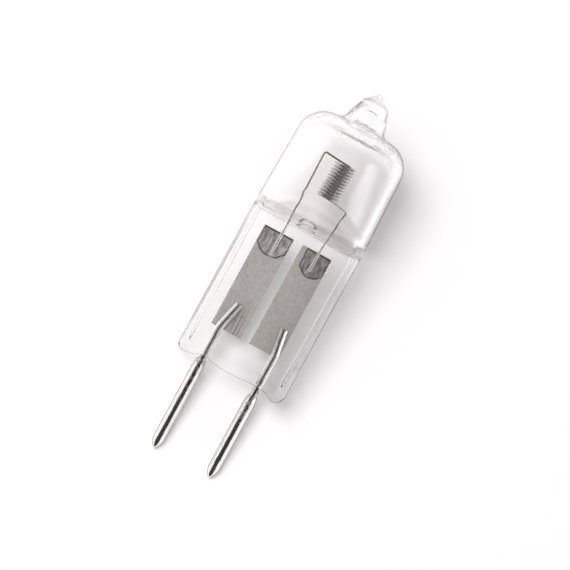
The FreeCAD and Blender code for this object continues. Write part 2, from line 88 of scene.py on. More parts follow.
class QuartzSizes(bpy.types.PropertyGroup):
    pinch_half_width: length("Pinch half width", 6.15, "Half the width of the pinch, and the tube's radius")
    taper_start: length("Taper start", 17.5, "Height where the tube starts to narrow")
    shoulder_radius: length("Shoulder radius", 5.9, "Outer radius where the tube turns into the dome")
    shoulder_height: length("Shoulder height", 25.4, "Height of that turn")
    shoulder_round: length("Shoulder round", 2.9, "Radius of the dome's shoulder")
    wall: length("Wall", 0.85, "Thickness of the blown wall")
    heel_wall: length("Heel wall", 0.6, "Thickness of the wall where the tube narrows to the pinch")
    tip_root_radius: length("Tip root radius", 2.1, "Radius of the exhaust tip where it leaves the dome")
    tip_root_round: length("Tip root round", 0.9, "Hollow round between the dome and the tip")
    tip_length: length("Tip length", 1.55, "Length of the tip up to its shoulder")
    tip_shoulder_radius: length("Tip shoulder radius", 1.53, "Radius of the tip at its shoulder")
    tip_shoulder_round: length("Tip shoulder round", 0.5, "Round of that shoulder")
    cap_radius: length("Cap radius", 1.06, "Radius of the cap that the flame drew out on the tip")
    cap_height: length("Cap height", 31.36, "Height of the cap's rim")
    nipple_radius: length("Nipple radius", 0.45, "Radius of the drawn-off nipple at its foot")
    nipple_height: length("Nipple height", 31.95, "Height where the nipple begins")
    nipple_nose: length("Nipple nose", 0.12, "Round of the nipple's end")
    lamp_height: length("Lamp height", 32.45, "Top of the nipple")
    funnel_radius: length("Funnel radius", 0.95, "Radius of the hollow inside the tip")
    funnel_top: length("Funnel top", 30.3, "Top of that hollow")
    rib_half: length("Rib half thickness", 2.0, "Half the pinch's thickness at its side ribs")
    web_half: length("Web half thickness", 1.65, "Half the pinch's thickness between the ribs")
    rib_width: length("Rib width", 0.8, "Width of a side rib")
    web_foot: length("Web foot", 1.0, "Foot of the thinner web")
    jaw_height: length("Jaw height", 16.8, "Height that the pinching jaws reached")
    jaw_slope: angle("Jaw slope", 32, "Angle between the glass above the jaws and the level")
    floor_height: length("Floor height", 16.875, "Lowest line of the gas space")
    floor_round: length("Floor round", 0.6, "Round at the bottom of the gas space")
    bead_radius: length("Bead radius", 1.08, "Radius of the glass bead on the floor of the gas space")
    bead_rise: length("Bead rise", 0.82, "Height of that bead above the floor")
    bead_offset: length("Bead offset", 0.25, "Distance of the bead to the left of the middle")


class FilamentSizes(bpy.types.PropertyGroup):
    wire_radius: length("Wire radius", 0.105, "Radius of the tungsten wire")
    coil_wire_radius: length("Coil wire radius", 0.118, "Radius of the wire in the coil, which is fuller")
    coil_radius: length("Coil radius", 1.05, "Radius of the coil to the middle of its wire")
    pitch: length("Pitch", 0.343, "Rise of the coil in one turn")
    turns: IntProperty(name="Turns", description="Turns of the coil", default=12, min=1)
    top: length("Coil top", 24.2, "Height of the coil's uppermost front wire")
    offset: length("Coil offset", 0.2, "Distance of the coil's middle from the lamp's axis")
    lean: angle("Coil lean", 1.8, "Lean of the coil to the right")
    left_bend: length("Left bend", 2.25, "Distance of the left leg's bend from the axis")
    right_bend: length("Right bend", 2.55, "Distance of the right leg's bend from the axis")
    bend_round: length("Bend round", 0.25, "Radius of the bend at the top of a leg")
    weld_offset: length("Weld offset", 2.12, "Distance of the legs' welds from the axis")
    weld_foot: length("Weld foot", 13.0, "Height of the welded ends of the legs")
    set_height: length("Set height", 15.5, "Height where the legs come to lie against the foils")
    set_round: length("Set round", 3.0, "Radius of the bend there")


class SealSizes(bpy.types.PropertyGroup):
    foil_width: length("Foil width", 3.35, "Width of a sealing foil")
    foil_thickness: length("Foil thickness", 0.03, "Thickness of a foil")
    foil_feather: length("Foil feather", 0.5, "Width of a foil's thinned edge")
    foil_foot: length("Foil foot", 3.6, "Lower end of the foils")
    foil_top: length("Foil top", 15.04, "Upper end of the foils")
    foil_left: length("Left foil offset", 2.42, "Distance of the left foil's middle from the axis")
    foil_right: length("Right foil offset", 1.95, "Distance of the right foil's middle from the axis")
    pocket_depth: length("Pocket depth", 0.08, "Depth of the unbonded pocket in front of a foil")
    pocket_left: length("Left pocket half width", 1.62, "Half the width of the left pocket")
    pocket_right: length("Right pocket half width", 1.38, "Half the width of the right pocket")
    pocket_side: length("Pocket side", 13.22, "Height where the pockets' straight sides end")
    pocket_foot: length("Pocket foot", 12.3, "Lowest point of the pockets")
    pocket_shift: length("Right pocket shift", 0.3, "How far the right pocket stands outwards on its foil")
    gap: length("Capillary gap", 0.035, "Gap between a lead or a leg and the quartz")
    leg_gap: length("Leg gap", 0.1, "Gap between a filament's leg and the quartz above the foil")
    lead_radius: length("Lead radius", 0.4, "Radius of an outer lead")
    crank_height: length("Crank height", 3.7, "Height where the leads turn inwards")
    crank_round: length("Crank round", 3.0, "Radius of that turn")
    lead_left_top: length("Left lead top", 6.7, "Height of the left lead's welded end")
    lead_right_top: length("Right lead top", 6.6, "Height of the right lead's welded end")
    lead_left_inset: length("Left lead inset", 0.72, "How far the left lead's end stands in from its pin")
    lead_right_inset: length("Right lead inset", 0.45, "How far the right lead's end stands in from its pin")


class PinSizes(bpy.types.PropertyGroup):
    spacing: length("Pin spacing", 6.35, "Distance between the axes of the two pins")
    radius: length("Pin radius", 0.625, "Radius of a contact sleeve")
    end_depth: length("Pin end", 10.31, "Distance from the foot to the pins' ends")
    ogive_round: length("Ogive round", 2.0, "Side round of a sleeve's point")
    end_radius: length("Pin end radius", 0.09, "Radius at the very end of a sleeve")
    left_mouth: length("Left mouth", -0.1, "Height of the left sleeve's mouth")
    right_mouth: length("Right mouth", -0.9, "Height of the right sleeve's mouth")
    mouth_wall: length("Mouth wall", 0.07, "Wall of a sleeve at its mouth")
    shoulder: length("Shoulder length", 1.1, "Length over which the mouth widens to the full sleeve")
    bore_depth: length("Bore depth", 5.0, "Depth of the bore that takes the lead")
    bore_gap: length("Bore gap", 0.02, "Gap between the lead and the bore")


class LampColours(bpy.types.PropertyGroup):
    quartz: tint("Quartz", "FBFAFA", "Colour that light keeps on its way into or out of the quartz")
    # Painted shadow: the quartz's shadow colour turns to this on the side away from the key light.
    quartz_painted_shadow_side: tint("Quartz far side", "AFA5A9", "The same on the side away from the key light")
    # Also the colour of the painted dark outline on the quartz's rim, bead and foot edge.
    quartz_edge: tint("Quartz edge", "B0AAAD", "Colour of the shadow of a wall of quartz seen edge on")
    tungsten: tint("Tungsten", "C8C3BF", "Drawn tungsten wire")
    foil: tint("Foil", "BAB5B2", "Rolled and etched molybdenum")
    foil_stain: tint("Foil stain", "B1AFA6", "Faint greenish brown heat stain on the foil")
    weld: tint("Weld", "D4CECD", "Molybdenum that the weld has darkened")
    # The foil's colour inside the pocket round the weld; a twentieth of it is also the painted shade line
    # round the pocket and along the folds.
    rod: tint("Rod", "E0DDDA", "Drawn molybdenum rod")
    nickel: tint("Nickel", "FBFAF8", "Bright nickel plate")
    floor: tint("Floor", "F4F2F3", "White table")


class StudioSizes(bpy.types.PropertyGroup):
    view_across: length("Aim across", 0.637, "Lamp X coordinate at the middle of the picture")
    view_along: length("Aim along", 10.567, "Lamp Z coordinate at the middle of the picture")
    view_width: length("Picture width", 57.91, "Width of what the picture shows at the lamp")
    view_turn: angle("Picture turn", 28.6, "How far the lamp leans to the right in the picture")
    distance: length("Camera distance", 600, "Distance from the camera to the lamp")
    floor_half: length("Floor half width", 600, "Half the side of the table")


GROUPS = {
    "quartz_sizes": QuartzSizes,
    "filament_sizes": FilamentSizes,
    "seal_sizes": SealSizes,
    "pin_sizes": PinSizes,
    "lamp_colours": LampColours,
    "studio_sizes": StudioSizes,
}


def in_millimetres(context, group):
    """The numbers of a group, its lengths in millimetres and its angles in radians."""
    values = getattr(context.scene, group)
    found = {}
    for name in GROUPS[group].__annotations__:
        value = getattr(values, name)
        is_length = values.bl_rna.properties[name].unit == "LENGTH"
        found[name] = value / MM if is_length else value
    return SimpleNamespace(**found)


def set_up(place, right, up, back):
    """Matrix that sets a thing up at a place, with its own axes along the three given ones."""
    return Matrix.Translation(place) @ Matrix((right, up, back)).transposed().to_4x4()


def lamp_matrix():
    """Lays the upright lamp, in millimetres, down in the frame that the pins' mounts give, in metres."""
    mounts = {mount["name"]: mount for mount in frame["record"]["mounts"]}
    left = mounts["contact_pin_left"]
    pins = in_millimetres(bpy.context, "pin_sizes")
    along = -Vector(left["axis"])
    across = Vector((0, -1, 0))
    through = along.cross(across)
    # The mount is at the middle of the sleeve's straight part.
    middle = pins.left_mouth - pins.shoulder - left["dims"]["length_mm"] / 2
    origin = Vector(left["pos_m"]) + (across * pins.spacing / 2 - along * middle) * MM
    return set_up(origin, across, through, along) @ Matrix.Scale(MM, 4)


# Drawing

def arc(centre, radius, start, end, count):
    """Points (radius, height) on an arc, without its first one, between two angles in degrees."""
    points = []
    for i in range(1, count + 1):
        turn = math.radians(start + (end - start) * i / count)
        points.append((centre[0] + radius * math.cos(turn), centre[1] + radius * math.sin(turn)))
    return points


def spaced(start, end, count):
    """Numbers from start to end without the first one."""
    return [start + (end - start) * i / count for i in range(1, count + 1)]


def straight(start, end, count):
    """Points from start to end without the first one."""
    return list(zip(spaced(start[0], end[0], count), spaced(start[1], end[1], count)))


def smooth_lower(a, b, width):
    """The lower of two numbers, rounded off where they are closer than the width."""
    share = max(width - abs(a - b), 0) / width
    return min(a, b) - share * share * width / 4


def smooth_upper(a, b, width):
    return -smooth_lower(-a, -b, width)


def ease(value):
    """0 below 0 and 1 above 1, and a smooth rise between them."""
    value = min(max(value, 0), 1)
    return value * value * (3 - 2 * value)


def full_turn(count):
    """Angles of so many points round a circle."""
    return [2 * math.pi * i / count for i in range(count)]


def turned(profile, turns, centre=(0, 0)):
    """Rings of a profile of (radius, height), turned to the given angles about an upright axis."""
    axis = Vector((*centre, 0))
    return [[Vector((radius * math.cos(turn), radius * math.sin(turn), height)) + axis for turn in turns]
            for radius, height in profile]


def add_surface(target, rings, hollow=False):
    """Join closed rings of equal count to a closed surface that faces outwards, or inwards round a hollow."""
    surface = bmesh.new()
    rows = [[surface.verts.new(point) for point in row] for row in rings]
    for lower, upper in zip(rows, rows[1:]):
        for i in range(len(lower)):
            j = (i + 1) % len(lower)
            surface.faces.new((lower[i], lower[j], upper[j], upper[i]))
    bmesh.ops.remove_doubles(surface, verts=surface.verts, dist=1e-5)
    bmesh.ops.dissolve_degenerate(surface, edges=surface.edges, dist=1e-6)
    if any(not edge.is_manifold for edge in surface.edges):
        raise RuntimeError("a surface of the lamp isn't closed")
    # A hollow faces into its own space, away from the quartz round it.
    if (surface.calc_volume(signed=True) < 0) != hollow:
        bmesh.ops.reverse_faces(surface, faces=surface.faces)
    part = bpy.data.meshes.new("surface")
    surface.to_mesh(part)
    surface.free()
    target.from_mesh(part)
    bpy.data.meshes.remove(part)


def along_path(path, radii, count):
    """Rings round a path, whose frame turns as little as it can."""
    rings = []
    last = len(path) - 1
    tangents = [(path[min(i + 2, last)] - path[max(i - 2, 0)]).normalized() for i in range(len(path))]
    side = tangents[0].orthogonal().normalized()
    for i, (point, tangent, radius) in enumerate(zip(path, tangents, radii)):
        if i:
            side = (tangents[i - 1].rotation_difference(tangent) @ side).normalized()
        other = tangent.cross(side)
        rings.append([point + (side * math.cos(turn) + other * math.sin(turn)) * radius
                      for turn in full_turn(count)])
    return rings


def rod_rings(path, radius, count, start_round, end_round):
    """Rings of a rod along a path, its two ends rounded off by the given radii."""
    start, end = path[0], path[-1]
    forward, back = (path[1] - start).normalized(), (path[-2] - end).normalized()
    points = [start] + [start + forward * start_round * (1 - math.cos(turn)) for turn in QUARTER_TURN]
    radii = [0] + [radius - start_round * (1 - math.sin(turn)) for turn in QUARTER_TURN]
    clear = 1.05
    inner = [p for p in path[1:-1]
             if (p - start).length > start_round * clear and (p - end).length > end_round * clear]
    points += inner
    radii += [radius] * len(inner)
    points += [end + back * end_round * (1 - math.sin(turn)) for turn in QUARTER_TURN] + [end]
    radii += [radius - end_round * (1 - math.cos(turn)) for turn in QUARTER_TURN] + [0]
    return along_path(points, radii, count)


def rounded_path(points, rounds, step):
    """Points along lines with an arc of the given radius at each inner corner, about a step apart."""
    path = [points[0]]

    def line_to(end):
        start = path[-1]
        count = max(1, round((end - start).length / step))
        path.extend(start.lerp(end, i / count) for i in range(1, count + 1))

    for before, corner, after, radius in zip(points, points[1:], points[2:], rounds):
        back, onward = (before - corner).normalized(), (after - corner).normalized()
        half_turn = (math.pi - back.angle(onward)) / 2
        first = corner + back * radius * math.tan(half_turn)
        line_to(first)
        centre = corner + (back + onward).normalized() * radius / math.cos(half_turn)
        count = max(4, round(2 * half_turn * radius / step))
        axis = onward.cross(back)
        path.extend(centre + Quaternion(axis, 2 * half_turn * i / count) @ (first - centre)
                    for i in range(1, count + 1))
    line_to(points[-1])
    return path


def lamp_object(name, mesh_in_mm, material, node):
    """Make a piece of the lamp that stands for one CAD node."""
    mesh = bpy.data.meshes.new(name)
    mesh_in_mm.to_mesh(mesh)
    mesh_in_mm.free()
    mesh.transform(lamp_matrix())
    mesh.polygons.foreach_set("use_smooth", [True] * len(mesh.polygons))
    mesh.materials.append(material)
    piece = bpy.data.objects.new(name, mesh)
    bpy.context.scene.collection.objects.link(piece)
    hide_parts(node)
    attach(piece, "root")
    return piece


def mark_points(piece, names, shares_at):
    """Write the named shares that its material reads to a piece's points, from their place on the lamp."""
    upright = lamp_matrix().inverted()
    shares = [shares_at(upright @ vertex.co) for vertex in piece.data.vertices]
    for name, values in zip(names, zip(*shares)):
        piece.data.attributes.new(name, "FLOAT", "POINT").data.foreach_set("value", list(values))


# Materials

BLEND = {"data_type": "RGBA"}
DARKEN = {"data_type": "RGBA", "blend_type": "MULTIPLY"}
SOFT_STEP = {"interpolation_type": "SMOOTHSTEP"}
LARGER = {"operation": "MAXIMUM"}
TIMES = {"operation": "MULTIPLY"}
SIZE_OF = {"operation": "ABSOLUTE"}
OVER = {"operation": "GREATER_THAN"}
UNDER = {"operation": "LESS_THAN"}


def set_greys(colour_ramp, stops):
    """Set a ramp's stops, each given as (position, grey)."""
    for i, (position, grey) in enumerate(stops):
        stop = colour_ramp.elements[i] if i < 2 else colour_ramp.elements.new(position)
        stop.position = position
        stop.color = (grey, grey, grey, 1)


def node(tree, kind, settings=None, **links):
    """Add a node with its settings and inputs. A node given as an input stands for its output in use."""
    made = tree.nodes.new(kind)
    for name, value in (settings or {}).items():
        if name == "stops":
            set_greys(made.color_ramp, value)
        else:
            setattr(made, name, value)
    for name, value in links.items():
        socket = made.inputs[int(name[1:]) if name[1:].isdigit() else name.replace("_", " ")]
        if isinstance(value, bpy.types.Node):
            value = next(output for output in value.outputs if output.enabled)
        if isinstance(value, bpy.types.NodeSocket):
            tree.links.new(value, socket)
        else:
            socket.default_value = value
    return made


def new_material(name):
    material = bpy.data.materials.new(name)
    material.use_nodes = True
    material.node_tree.nodes.clear()
    return material, material.node_tree


def rgba(colour, share=1):
    """A colour, or a share of it, with its alpha."""
    return (*(channel * share for channel in colour), 1)


def mottling(tree, grain, detail=3.0, roughness=0.5, stretch=None):
    """Uneven pattern with blotches of about the given millimetres, longer along the lamp if stretched."""
    # Every piece sits at the origin, so its own coordinates are metres in the frame.
    place = node(tree, "ShaderNodeTexCoord").outputs["Object"]
    if stretch:
        turned_back = lamp_matrix().to_3x3().normalized().inverted().to_euler()
        place = node(tree, "ShaderNodeMapping", Vector=place, Rotation=turned_back)
        place = node(tree, "ShaderNodeVectorMath", TIMES, _0=place, _1=(1, 1, 1 / stretch))
    return node(tree, "ShaderNodeTexNoise", Vector=place, Scale=1 / (grain * MM), Detail=detail,
                Roughness=roughness)


def fused_quartz(colours):
    """Fused quartz tube, blown and pinched in the flame and fire polished.

    It is water clear and glossy. Its walls are a little uneven from drawing and pressing, so what lies
    behind them wavers, and a lamp's light goes through it and leaves a faint shadow, darker where the
    wall is seen edge on and painted darker on the side away from the key light. Its rim, its foot and the
    bead inside carry painted dark outlines, and at the drawn-off point and the floor's round the glass is
    painted partly see-through, which lightens the lines there.
    """
    material, tree = new_material("fused_quartz_fire_polished")
    draw_lines = mottling(tree, 1.6, detail=2, stretch=9)
    pressing = mottling(tree, 3.5, detail=1)
    uneven = node(tree, "ShaderNodeMix", {"data_type": "FLOAT"}, Factor=0.5, _2=draw_lines, _3=pressing)
    bump = node(tree, "ShaderNodeBump", Strength=0.35, Distance=0.02 * MM, Height=uneven)
    # Round the root of the tip, 16.6 mm along the table, the flame left the glass wrinkled.
    place = node(tree, "ShaderNodeSeparateXYZ", Vector=node(tree, "ShaderNodeTexCoord").outputs["Object"])
    from_root = node(tree, "ShaderNodeMath", {"operation": "SUBTRACT"}, _0=place.outputs["X"], _1=16.6 * MM)
    from_root = node(tree, "ShaderNodeMath", SIZE_OF, _0=from_root)
    wrinkled = node(tree, "ShaderNodeMapRange", SOFT_STEP, Value=from_root, From_Min=1.9 * MM,
                    From_Max=0.8 * MM, To_Max=0.8)
    bump = node(tree, "ShaderNodeBump", Strength=wrinkled, Distance=0.25 * MM,
                Height=mottling(tree, 0.9, detail=3, roughness=0.6), Normal=bump)
    handling = node(tree, "ShaderNodeMapRange", Value=mottling(tree, 2.4), To_Min=0.0, To_Max=0.025)
    glass = node(tree, "ShaderNodeBsdfPrincipled", Base_Color=rgba(colours.quartz), Metallic=0.0,
                 Roughness=handling, IOR=1.458, Transmission_Weight=1.0, Normal=bump)
    # Painted shadow: the shadow colour turns darker towards the quartz's side away from the key light, by its
    # place in the frame.
    far = node(tree, "ShaderNodeMapRange", SOFT_STEP, Value=place.outputs["Y"], From_Min=1.5 * MM,
               From_Max=-4.5 * MM)
    body = node(tree, "ShaderNodeMix", BLEND, Factor=far, _6=rgba(colours.quartz),
                _7=rgba(colours.quartz_painted_shadow_side))
    # Painted shade: where a wall turns away from the eye, it turns see-through in the dark edge colour, which
    # paints a thin dark outline. The mesh says where the outline is painted sooner: on the bead and along the
    # foot's edge.
    facing = node(tree, "ShaderNodeLayerWeight", Blend=0.5).outputs["Facing"]
    rays = node(tree, "ShaderNodeLightPath").outputs
    rim = node(tree, "ShaderNodeMapRange", SOFT_STEP, Value=facing, From_Min=0.7, From_Max=0.9, To_Max=0.55)
    outer = node(tree, "ShaderNodeMath", TIMES, _0=rim, _1=rays["Is Camera Ray"])
    sharp = node(tree, "ShaderNodeAttribute", {"attribute_name": "painted_outline"}).outputs["Fac"]
    steep = node(tree, "ShaderNodeMapRange", SOFT_STEP, Value=facing, From_Min=0.3, From_Max=0.62)
    on_turn = node(tree, "ShaderNodeMath", TIMES, _0=steep, _1=sharp)
    outline = node(tree, "ShaderNodeMath", LARGER, _0=outer, _1=on_turn)
    edge_on = node(tree, "ShaderNodeMath", {"operation": "POWER"}, _0=facing, _1=3.0)
    edge_on = node(tree, "ShaderNodeMath", LARGER, _0=edge_on, _1=outline)
    shade = node(tree, "ShaderNodeMix", BLEND, Factor=edge_on, _6=body, _7=rgba(colours.quartz_edge))
    # Painted light: at the drawn-off point and round the hollow's floor the glass is made partly see-through
    # and untinted, without bending light, which lightens the lines they would draw.
    point = node(tree, "ShaderNodeMapRange", SOFT_STEP, Value=place.outputs["X"], From_Min=18.9 * MM,
                 From_Max=20.0 * MM, To_Max=0.8)
    floor = node(tree, "ShaderNodeAttribute", {"attribute_name": "floor_round"}).outputs["Fac"]
    fine = node(tree, "ShaderNodeMath", LARGER, _0=point, _1=floor)
    untinted = node(tree, "ShaderNodeMath", {"operation": "MULTIPLY", "use_clamp": True}, _0=fine, _1=1.5)
    shade = node(tree, "ShaderNodeMix", BLEND, Factor=untinted, _6=shade, _7=rgba(colours.quartz))
    clear = node(tree, "ShaderNodeBsdfTransparent", Color=shade)
    # Light that the walls have turned back three times comes out again, and a lamp's light goes through.
    caught = node(tree, "ShaderNodeMath", OVER, _0=rays["Glossy Depth"], _1=2.5)
    outline = node(tree, "ShaderNodeMath", LARGER, _0=outline, _1=fine)
    through = node(tree, "ShaderNodeMath", LARGER, _0=rays["Is Shadow Ray"], _1=outline)
    through = node(tree, "ShaderNodeMath", LARGER, _0=through, _1=caught)
    mixed = node(tree, "ShaderNodeMixShader", Fac=through, _1=glass, _2=clear)
    node(tree, "ShaderNodeOutputMaterial", Surface=mixed)
    return material


def drawn_tungsten(colours):
    """Drawn tungsten wire, wound while hot: grey, with fine die lines that spread the highlights."""
    material, tree = new_material("drawn_tungsten")
    grain = mottling(tree, 0.12, detail=4)
    colour = node(tree, "ShaderNodeMix", BLEND, Factor=grain, _6=rgba(colours.tungsten),
                  _7=rgba(colours.tungsten, 0.75))
    rough = node(tree, "ShaderNodeMapRange", Value=grain, To_Min=0.06, To_Max=0.14)
    bump = node(tree, "ShaderNodeBump", Strength=0.3, Distance=0.004 * MM, Height=grain)
    metal = node(tree, "ShaderNodeBsdfPrincipled", Base_Color=colour, Metallic=1.0, Roughness=rough,
                 Normal=bump)
    node(tree, "ShaderNodeOutputMaterial", Surface=metal)
    return material


def rolled_molybdenum(colours):
    """Molybdenum foil, rolled to 0.03 mm and etched so that quartz wets it.

    It is matt and mid grey, finely mottled by the etch, with a faint greenish heat stain. Inside the unbonded
    pocket, where the filament's leg is welded on, it has a streaked colour of its own, and a painted shade
    line runs round the pocket and along the foil's folds.
    """
    material, tree = new_material("rolled_molybdenum_foil")
    etch = mottling(tree, 0.35, detail=5, roughness=0.65)
    patches = node(tree, "ShaderNodeMapRange", Value=mottling(tree, 2.6, detail=2), From_Min=0.48,
                   From_Max=0.68, To_Max=0.75)
    stained = node(tree, "ShaderNodeMix", BLEND, Factor=patches, _6=rgba(colours.foil),
                   _7=rgba(colours.foil_stain))
    mottled = node(tree, "ShaderNodeMix", DARKEN, Factor=0.6, _6=stained,
                   _7=node(tree, "ShaderNodeValToRGB", {"stops": ((0.3, 0.6), (0.62, 1.04))}, Fac=etch))
    # The mesh says how far a point lies inside the pocket, 1 inside and 0 outside, which heat carries, and
    # where the painted shade line runs round the pocket and along the folds.
    heat = node(tree, "ShaderNodeAttribute", {"attribute_name": "pocket_inside"}).outputs["Fac"]
    streaks = mottling(tree, 0.3, detail=4, stretch=3)
    pocket_colour = node(tree, "ShaderNodeMix", DARKEN, Factor=0.8, _6=rgba(colours.weld),
                 _7=node(tree, "ShaderNodeValToRGB", {"stops": ((0.35, 0.25), (0.65, 1.5))}, Fac=streaks))
    colour = node(tree, "ShaderNodeMix", BLEND, Factor=heat, _6=mottled, _7=pocket_colour)
    # Painted shade: a near-black line round the pocket's outline and along the foil's folds.
    rim = node(tree, "ShaderNodeAttribute", {"attribute_name": "painted_shade_line"}).outputs["Fac"]
    colour = node(tree, "ShaderNodeMix", BLEND, Factor=rim, _6=colour, _7=rgba(colours.weld, 0.05))
    rough = node(tree, "ShaderNodeMapRange", Value=etch, To_Min=0.42, To_Max=0.58)
    bump = node(tree, "ShaderNodeBump", Strength=0.5, Distance=0.006 * MM, Height=etch)
    # The etched skin scatters more than it mirrors, so it is only partly metallic.
    metal = node(tree, "ShaderNodeBsdfPrincipled", Base_Color=colour, Metallic=0.4, Roughness=rough,
                 Normal=bump)
    node(tree, "ShaderNodeOutputMaterial", Surface=metal)
    return material


def drawn_molybdenum(colours):
    """Drawn molybdenum rod: bright grey, with fine lines along it and a little oxide in blotches."""
    material, tree = new_material("drawn_molybdenum_rod")
    lines = mottling(tree, 0.09, detail=3, stretch=14)
    oxide = node(tree, "ShaderNodeMapRange", Value=mottling(tree, 0.8, detail=3), From_Min=0.5, From_Max=0.75)
    colour = node(tree, "ShaderNodeMix", BLEND, Factor=oxide, _6=rgba(colours.rod),
                  _7=rgba(colours.rod, 0.45))
    rough = node(tree, "ShaderNodeMapRange", Value=lines, To_Min=0.1, To_Max=0.22)
    bump = node(tree, "ShaderNodeBump", Strength=0.35, Distance=0.004 * MM, Height=lines)
    metal = node(tree, "ShaderNodeBsdfPrincipled", Base_Color=colour, Metallic=1.0, Roughness=rough,
                 Normal=bump)
    node(tree, "ShaderNodeOutputMaterial", Surface=metal)
    return material


def bright_nickel(colours):
    """Bright nickel plate on a turned sleeve: mirror like, with faint rub marks along the pin."""
    material, tree = new_material("bright_nickel_plate")
    rub = mottling(tree, 0.12, detail=3, stretch=18)
    haze = mottling(tree, 1.5, detail=2)
    colour = node(tree, "ShaderNodeMix", BLEND, Factor=haze, _6=rgba(colours.nickel),
                  _7=rgba(colours.nickel, 0.93))
    # Painted shade: where the round sleeve turns away from the eye its colour is darkened to a dark rim,
    # standing in for the dark it would mirror under it.
    painted_dark_rim = node(tree, "ShaderNodeMapRange", From_Min=0.47, From_Max=0.65,
                       Value=node(tree, "ShaderNodeLayerWeight", Blend=0.5).outputs["Facing"])
    colour = node(tree, "ShaderNodeMix", BLEND, Factor=painted_dark_rim, _6=colour, _7=rgba(colours.nickel, 0.06))
    # Towards its mouth the sleeve is blotched by the heat of the seal.
    place = node(tree, "ShaderNodeSeparateXYZ", Vector=node(tree, "ShaderNodeTexCoord").outputs["Object"])
    near_mouth = node(tree, "ShaderNodeMapRange", Value=place.outputs["X"], From_Min=-16.5 * MM,
                      From_Max=-11.5 * MM, To_Min=0.16, To_Max=0.75)
    blotches = node(tree, "ShaderNodeMapRange", From_Min=0.45, From_Max=0.62,
                    Value=mottling(tree, 0.28, detail=4, roughness=0.7, stretch=1.6))
    blotched = node(tree, "ShaderNodeMath", TIMES, _0=near_mouth, _1=blotches)
    rough = node(tree, "ShaderNodeMapRange", Value=rub, To_Min=0.04, To_Max=0.14)
    rough = node(tree, "ShaderNodeMath", {"operation": "ADD", "use_clamp": True}, _0=rough, _1=blotched)
    bump = node(tree, "ShaderNodeBump", Strength=0.25, Distance=0.004 * MM, Height=rub)
    # The sleeve was squeezed and tumbled, so the dark line that it mirrors wavers.
    dents = mottling(tree, 0.55, detail=3, stretch=2.5)
    bump = node(tree, "ShaderNodeBump", Strength=0.5, Distance=0.06 * MM, Height=dents, Normal=bump)
    metal = node(tree, "ShaderNodeBsdfPrincipled", Base_Color=colour, Metallic=1.0, Roughness=rough,
                 Normal=bump)
    node(tree, "ShaderNodeOutputMaterial", Surface=metal)
    return material


def white_table(colours):
    """White laminate table: matt, and lit to white for the camera, metal and glass, with the shadow kept."""
    material, tree = new_material("white_laminate")
    colour = node(tree, "ShaderNodeMix", BLEND, Factor=mottling(tree, 6.0, detail=2), _6=rgba(colours.floor),
                  _7=rgba(colours.floor, 0.99))
    matt = node(tree, "ShaderNodeBsdfDiffuse", Color=colour)
    rays = node(tree, "ShaderNodeLightPath").outputs
    # Painted light: seen through the quartz the table glows at 0.3 rather than 0.14, which lightens what
    # shows inside the glass.
    level = node(tree, "ShaderNodeMapRange", Value=rays["Is Transmission Ray"], To_Min=0.14, To_Max=0.3)
    glow = node(tree, "ShaderNodeEmission", Color=(1, 1, 1, 1), Strength=level)
    both = node(tree, "ShaderNodeAddShader", _0=matt, _1=glow)
    seen = node(tree, "ShaderNodeMath", LARGER, _0=rays["Is Camera Ray"], _1=rays["Is Transmission Ray"])
    seen = node(tree, "ShaderNodeMath", LARGER, _0=seen, _1=rays["Is Glossy Ray"])
    mixed = node(tree, "ShaderNodeMixShader", Fac=seen, _1=matt, _2=both)
    node(tree, "ShaderNodeOutputMaterial", Surface=mixed)
    return material


# Quartz envelope, in millimetres

# Between these heights the rows of the skins are close, for the rounded slope above the jaws.
SLOPE_FOOT, SLOPE_TOP = 15.6, 20.6
# Round of the foot's two corners, and how far they hang down.
LEFT_CORNER, RIGHT_CORNER = (0.8, 0.2), (1.15, 0.5)
# The foot's edge between them: where a stretch starts, its height there and how far it bows up from there.
FOOT_EDGE = ((-4.075, 0.0, 0.33), (-2.275, 0.15, -0.2), (2.275, 0.15, 0.0), (4.075, 0.0, 0.0))
# Round along the foot's edge, and height of the first level row above it.
EDGE_ROUND, FIRST_LEVEL = 0.35, 0.86
# Bubbles that were left in the glass of the dome and of the tip: X, Y, Z and radius.
BUBBLES = ((-1.6, -2.4, 26.75, 0.11), (-0.7, -0.9, 30.5, 0.07))
# Glass that keeps two hollows apart.
FILM = 0.03


def foot_height(quartz, x):
    """Height of the foot's edge, which the flame drew up round the left pin and let sag at the right."""
    half = quartz.pinch_half_width
    stretches = [(LEFT_CORNER[0] - half, -LEFT_CORNER[1], 0.0), *FOOT_EDGE,
                 (half - RIGHT_CORNER[0], -RIGHT_CORNER[1], 0.0)]
    for past, (turn, drop) in ((stretches[0][0] - x, LEFT_CORNER), (x - stretches[-1][0], RIGHT_CORNER)):
        if past >= 0:
            return turn - drop - math.sqrt(turn ** 2 - min(turn, past) ** 2)
    for (start, height, bow), (end, end_height, _) in zip(stretches, stretches[1:]):
        if x <= end:
            share = (x - start) / (end - start)
            return height + (end_height - height) * share + bow * (4 * share * (1 - share))


def edge_room(quartz, x):
    """How much of the foot's edge round has room below the web, less at the pinch's corners."""
    ceiling, full_room, least = 0.84, 0.7, 0.1
    return min(1.0, max(least, (ceiling - foot_height(quartz, x)) / full_room))


def outer_radius(quartz, z):
    """Radius of the tube before it is pinched, below the dome."""
    share = max(z - quartz.taper_start, 0) / (quartz.shoulder_height - quartz.taper_start)
    return quartz.pinch_half_width + (quartz.shoulder_radius - quartz.pinch_half_width) * share


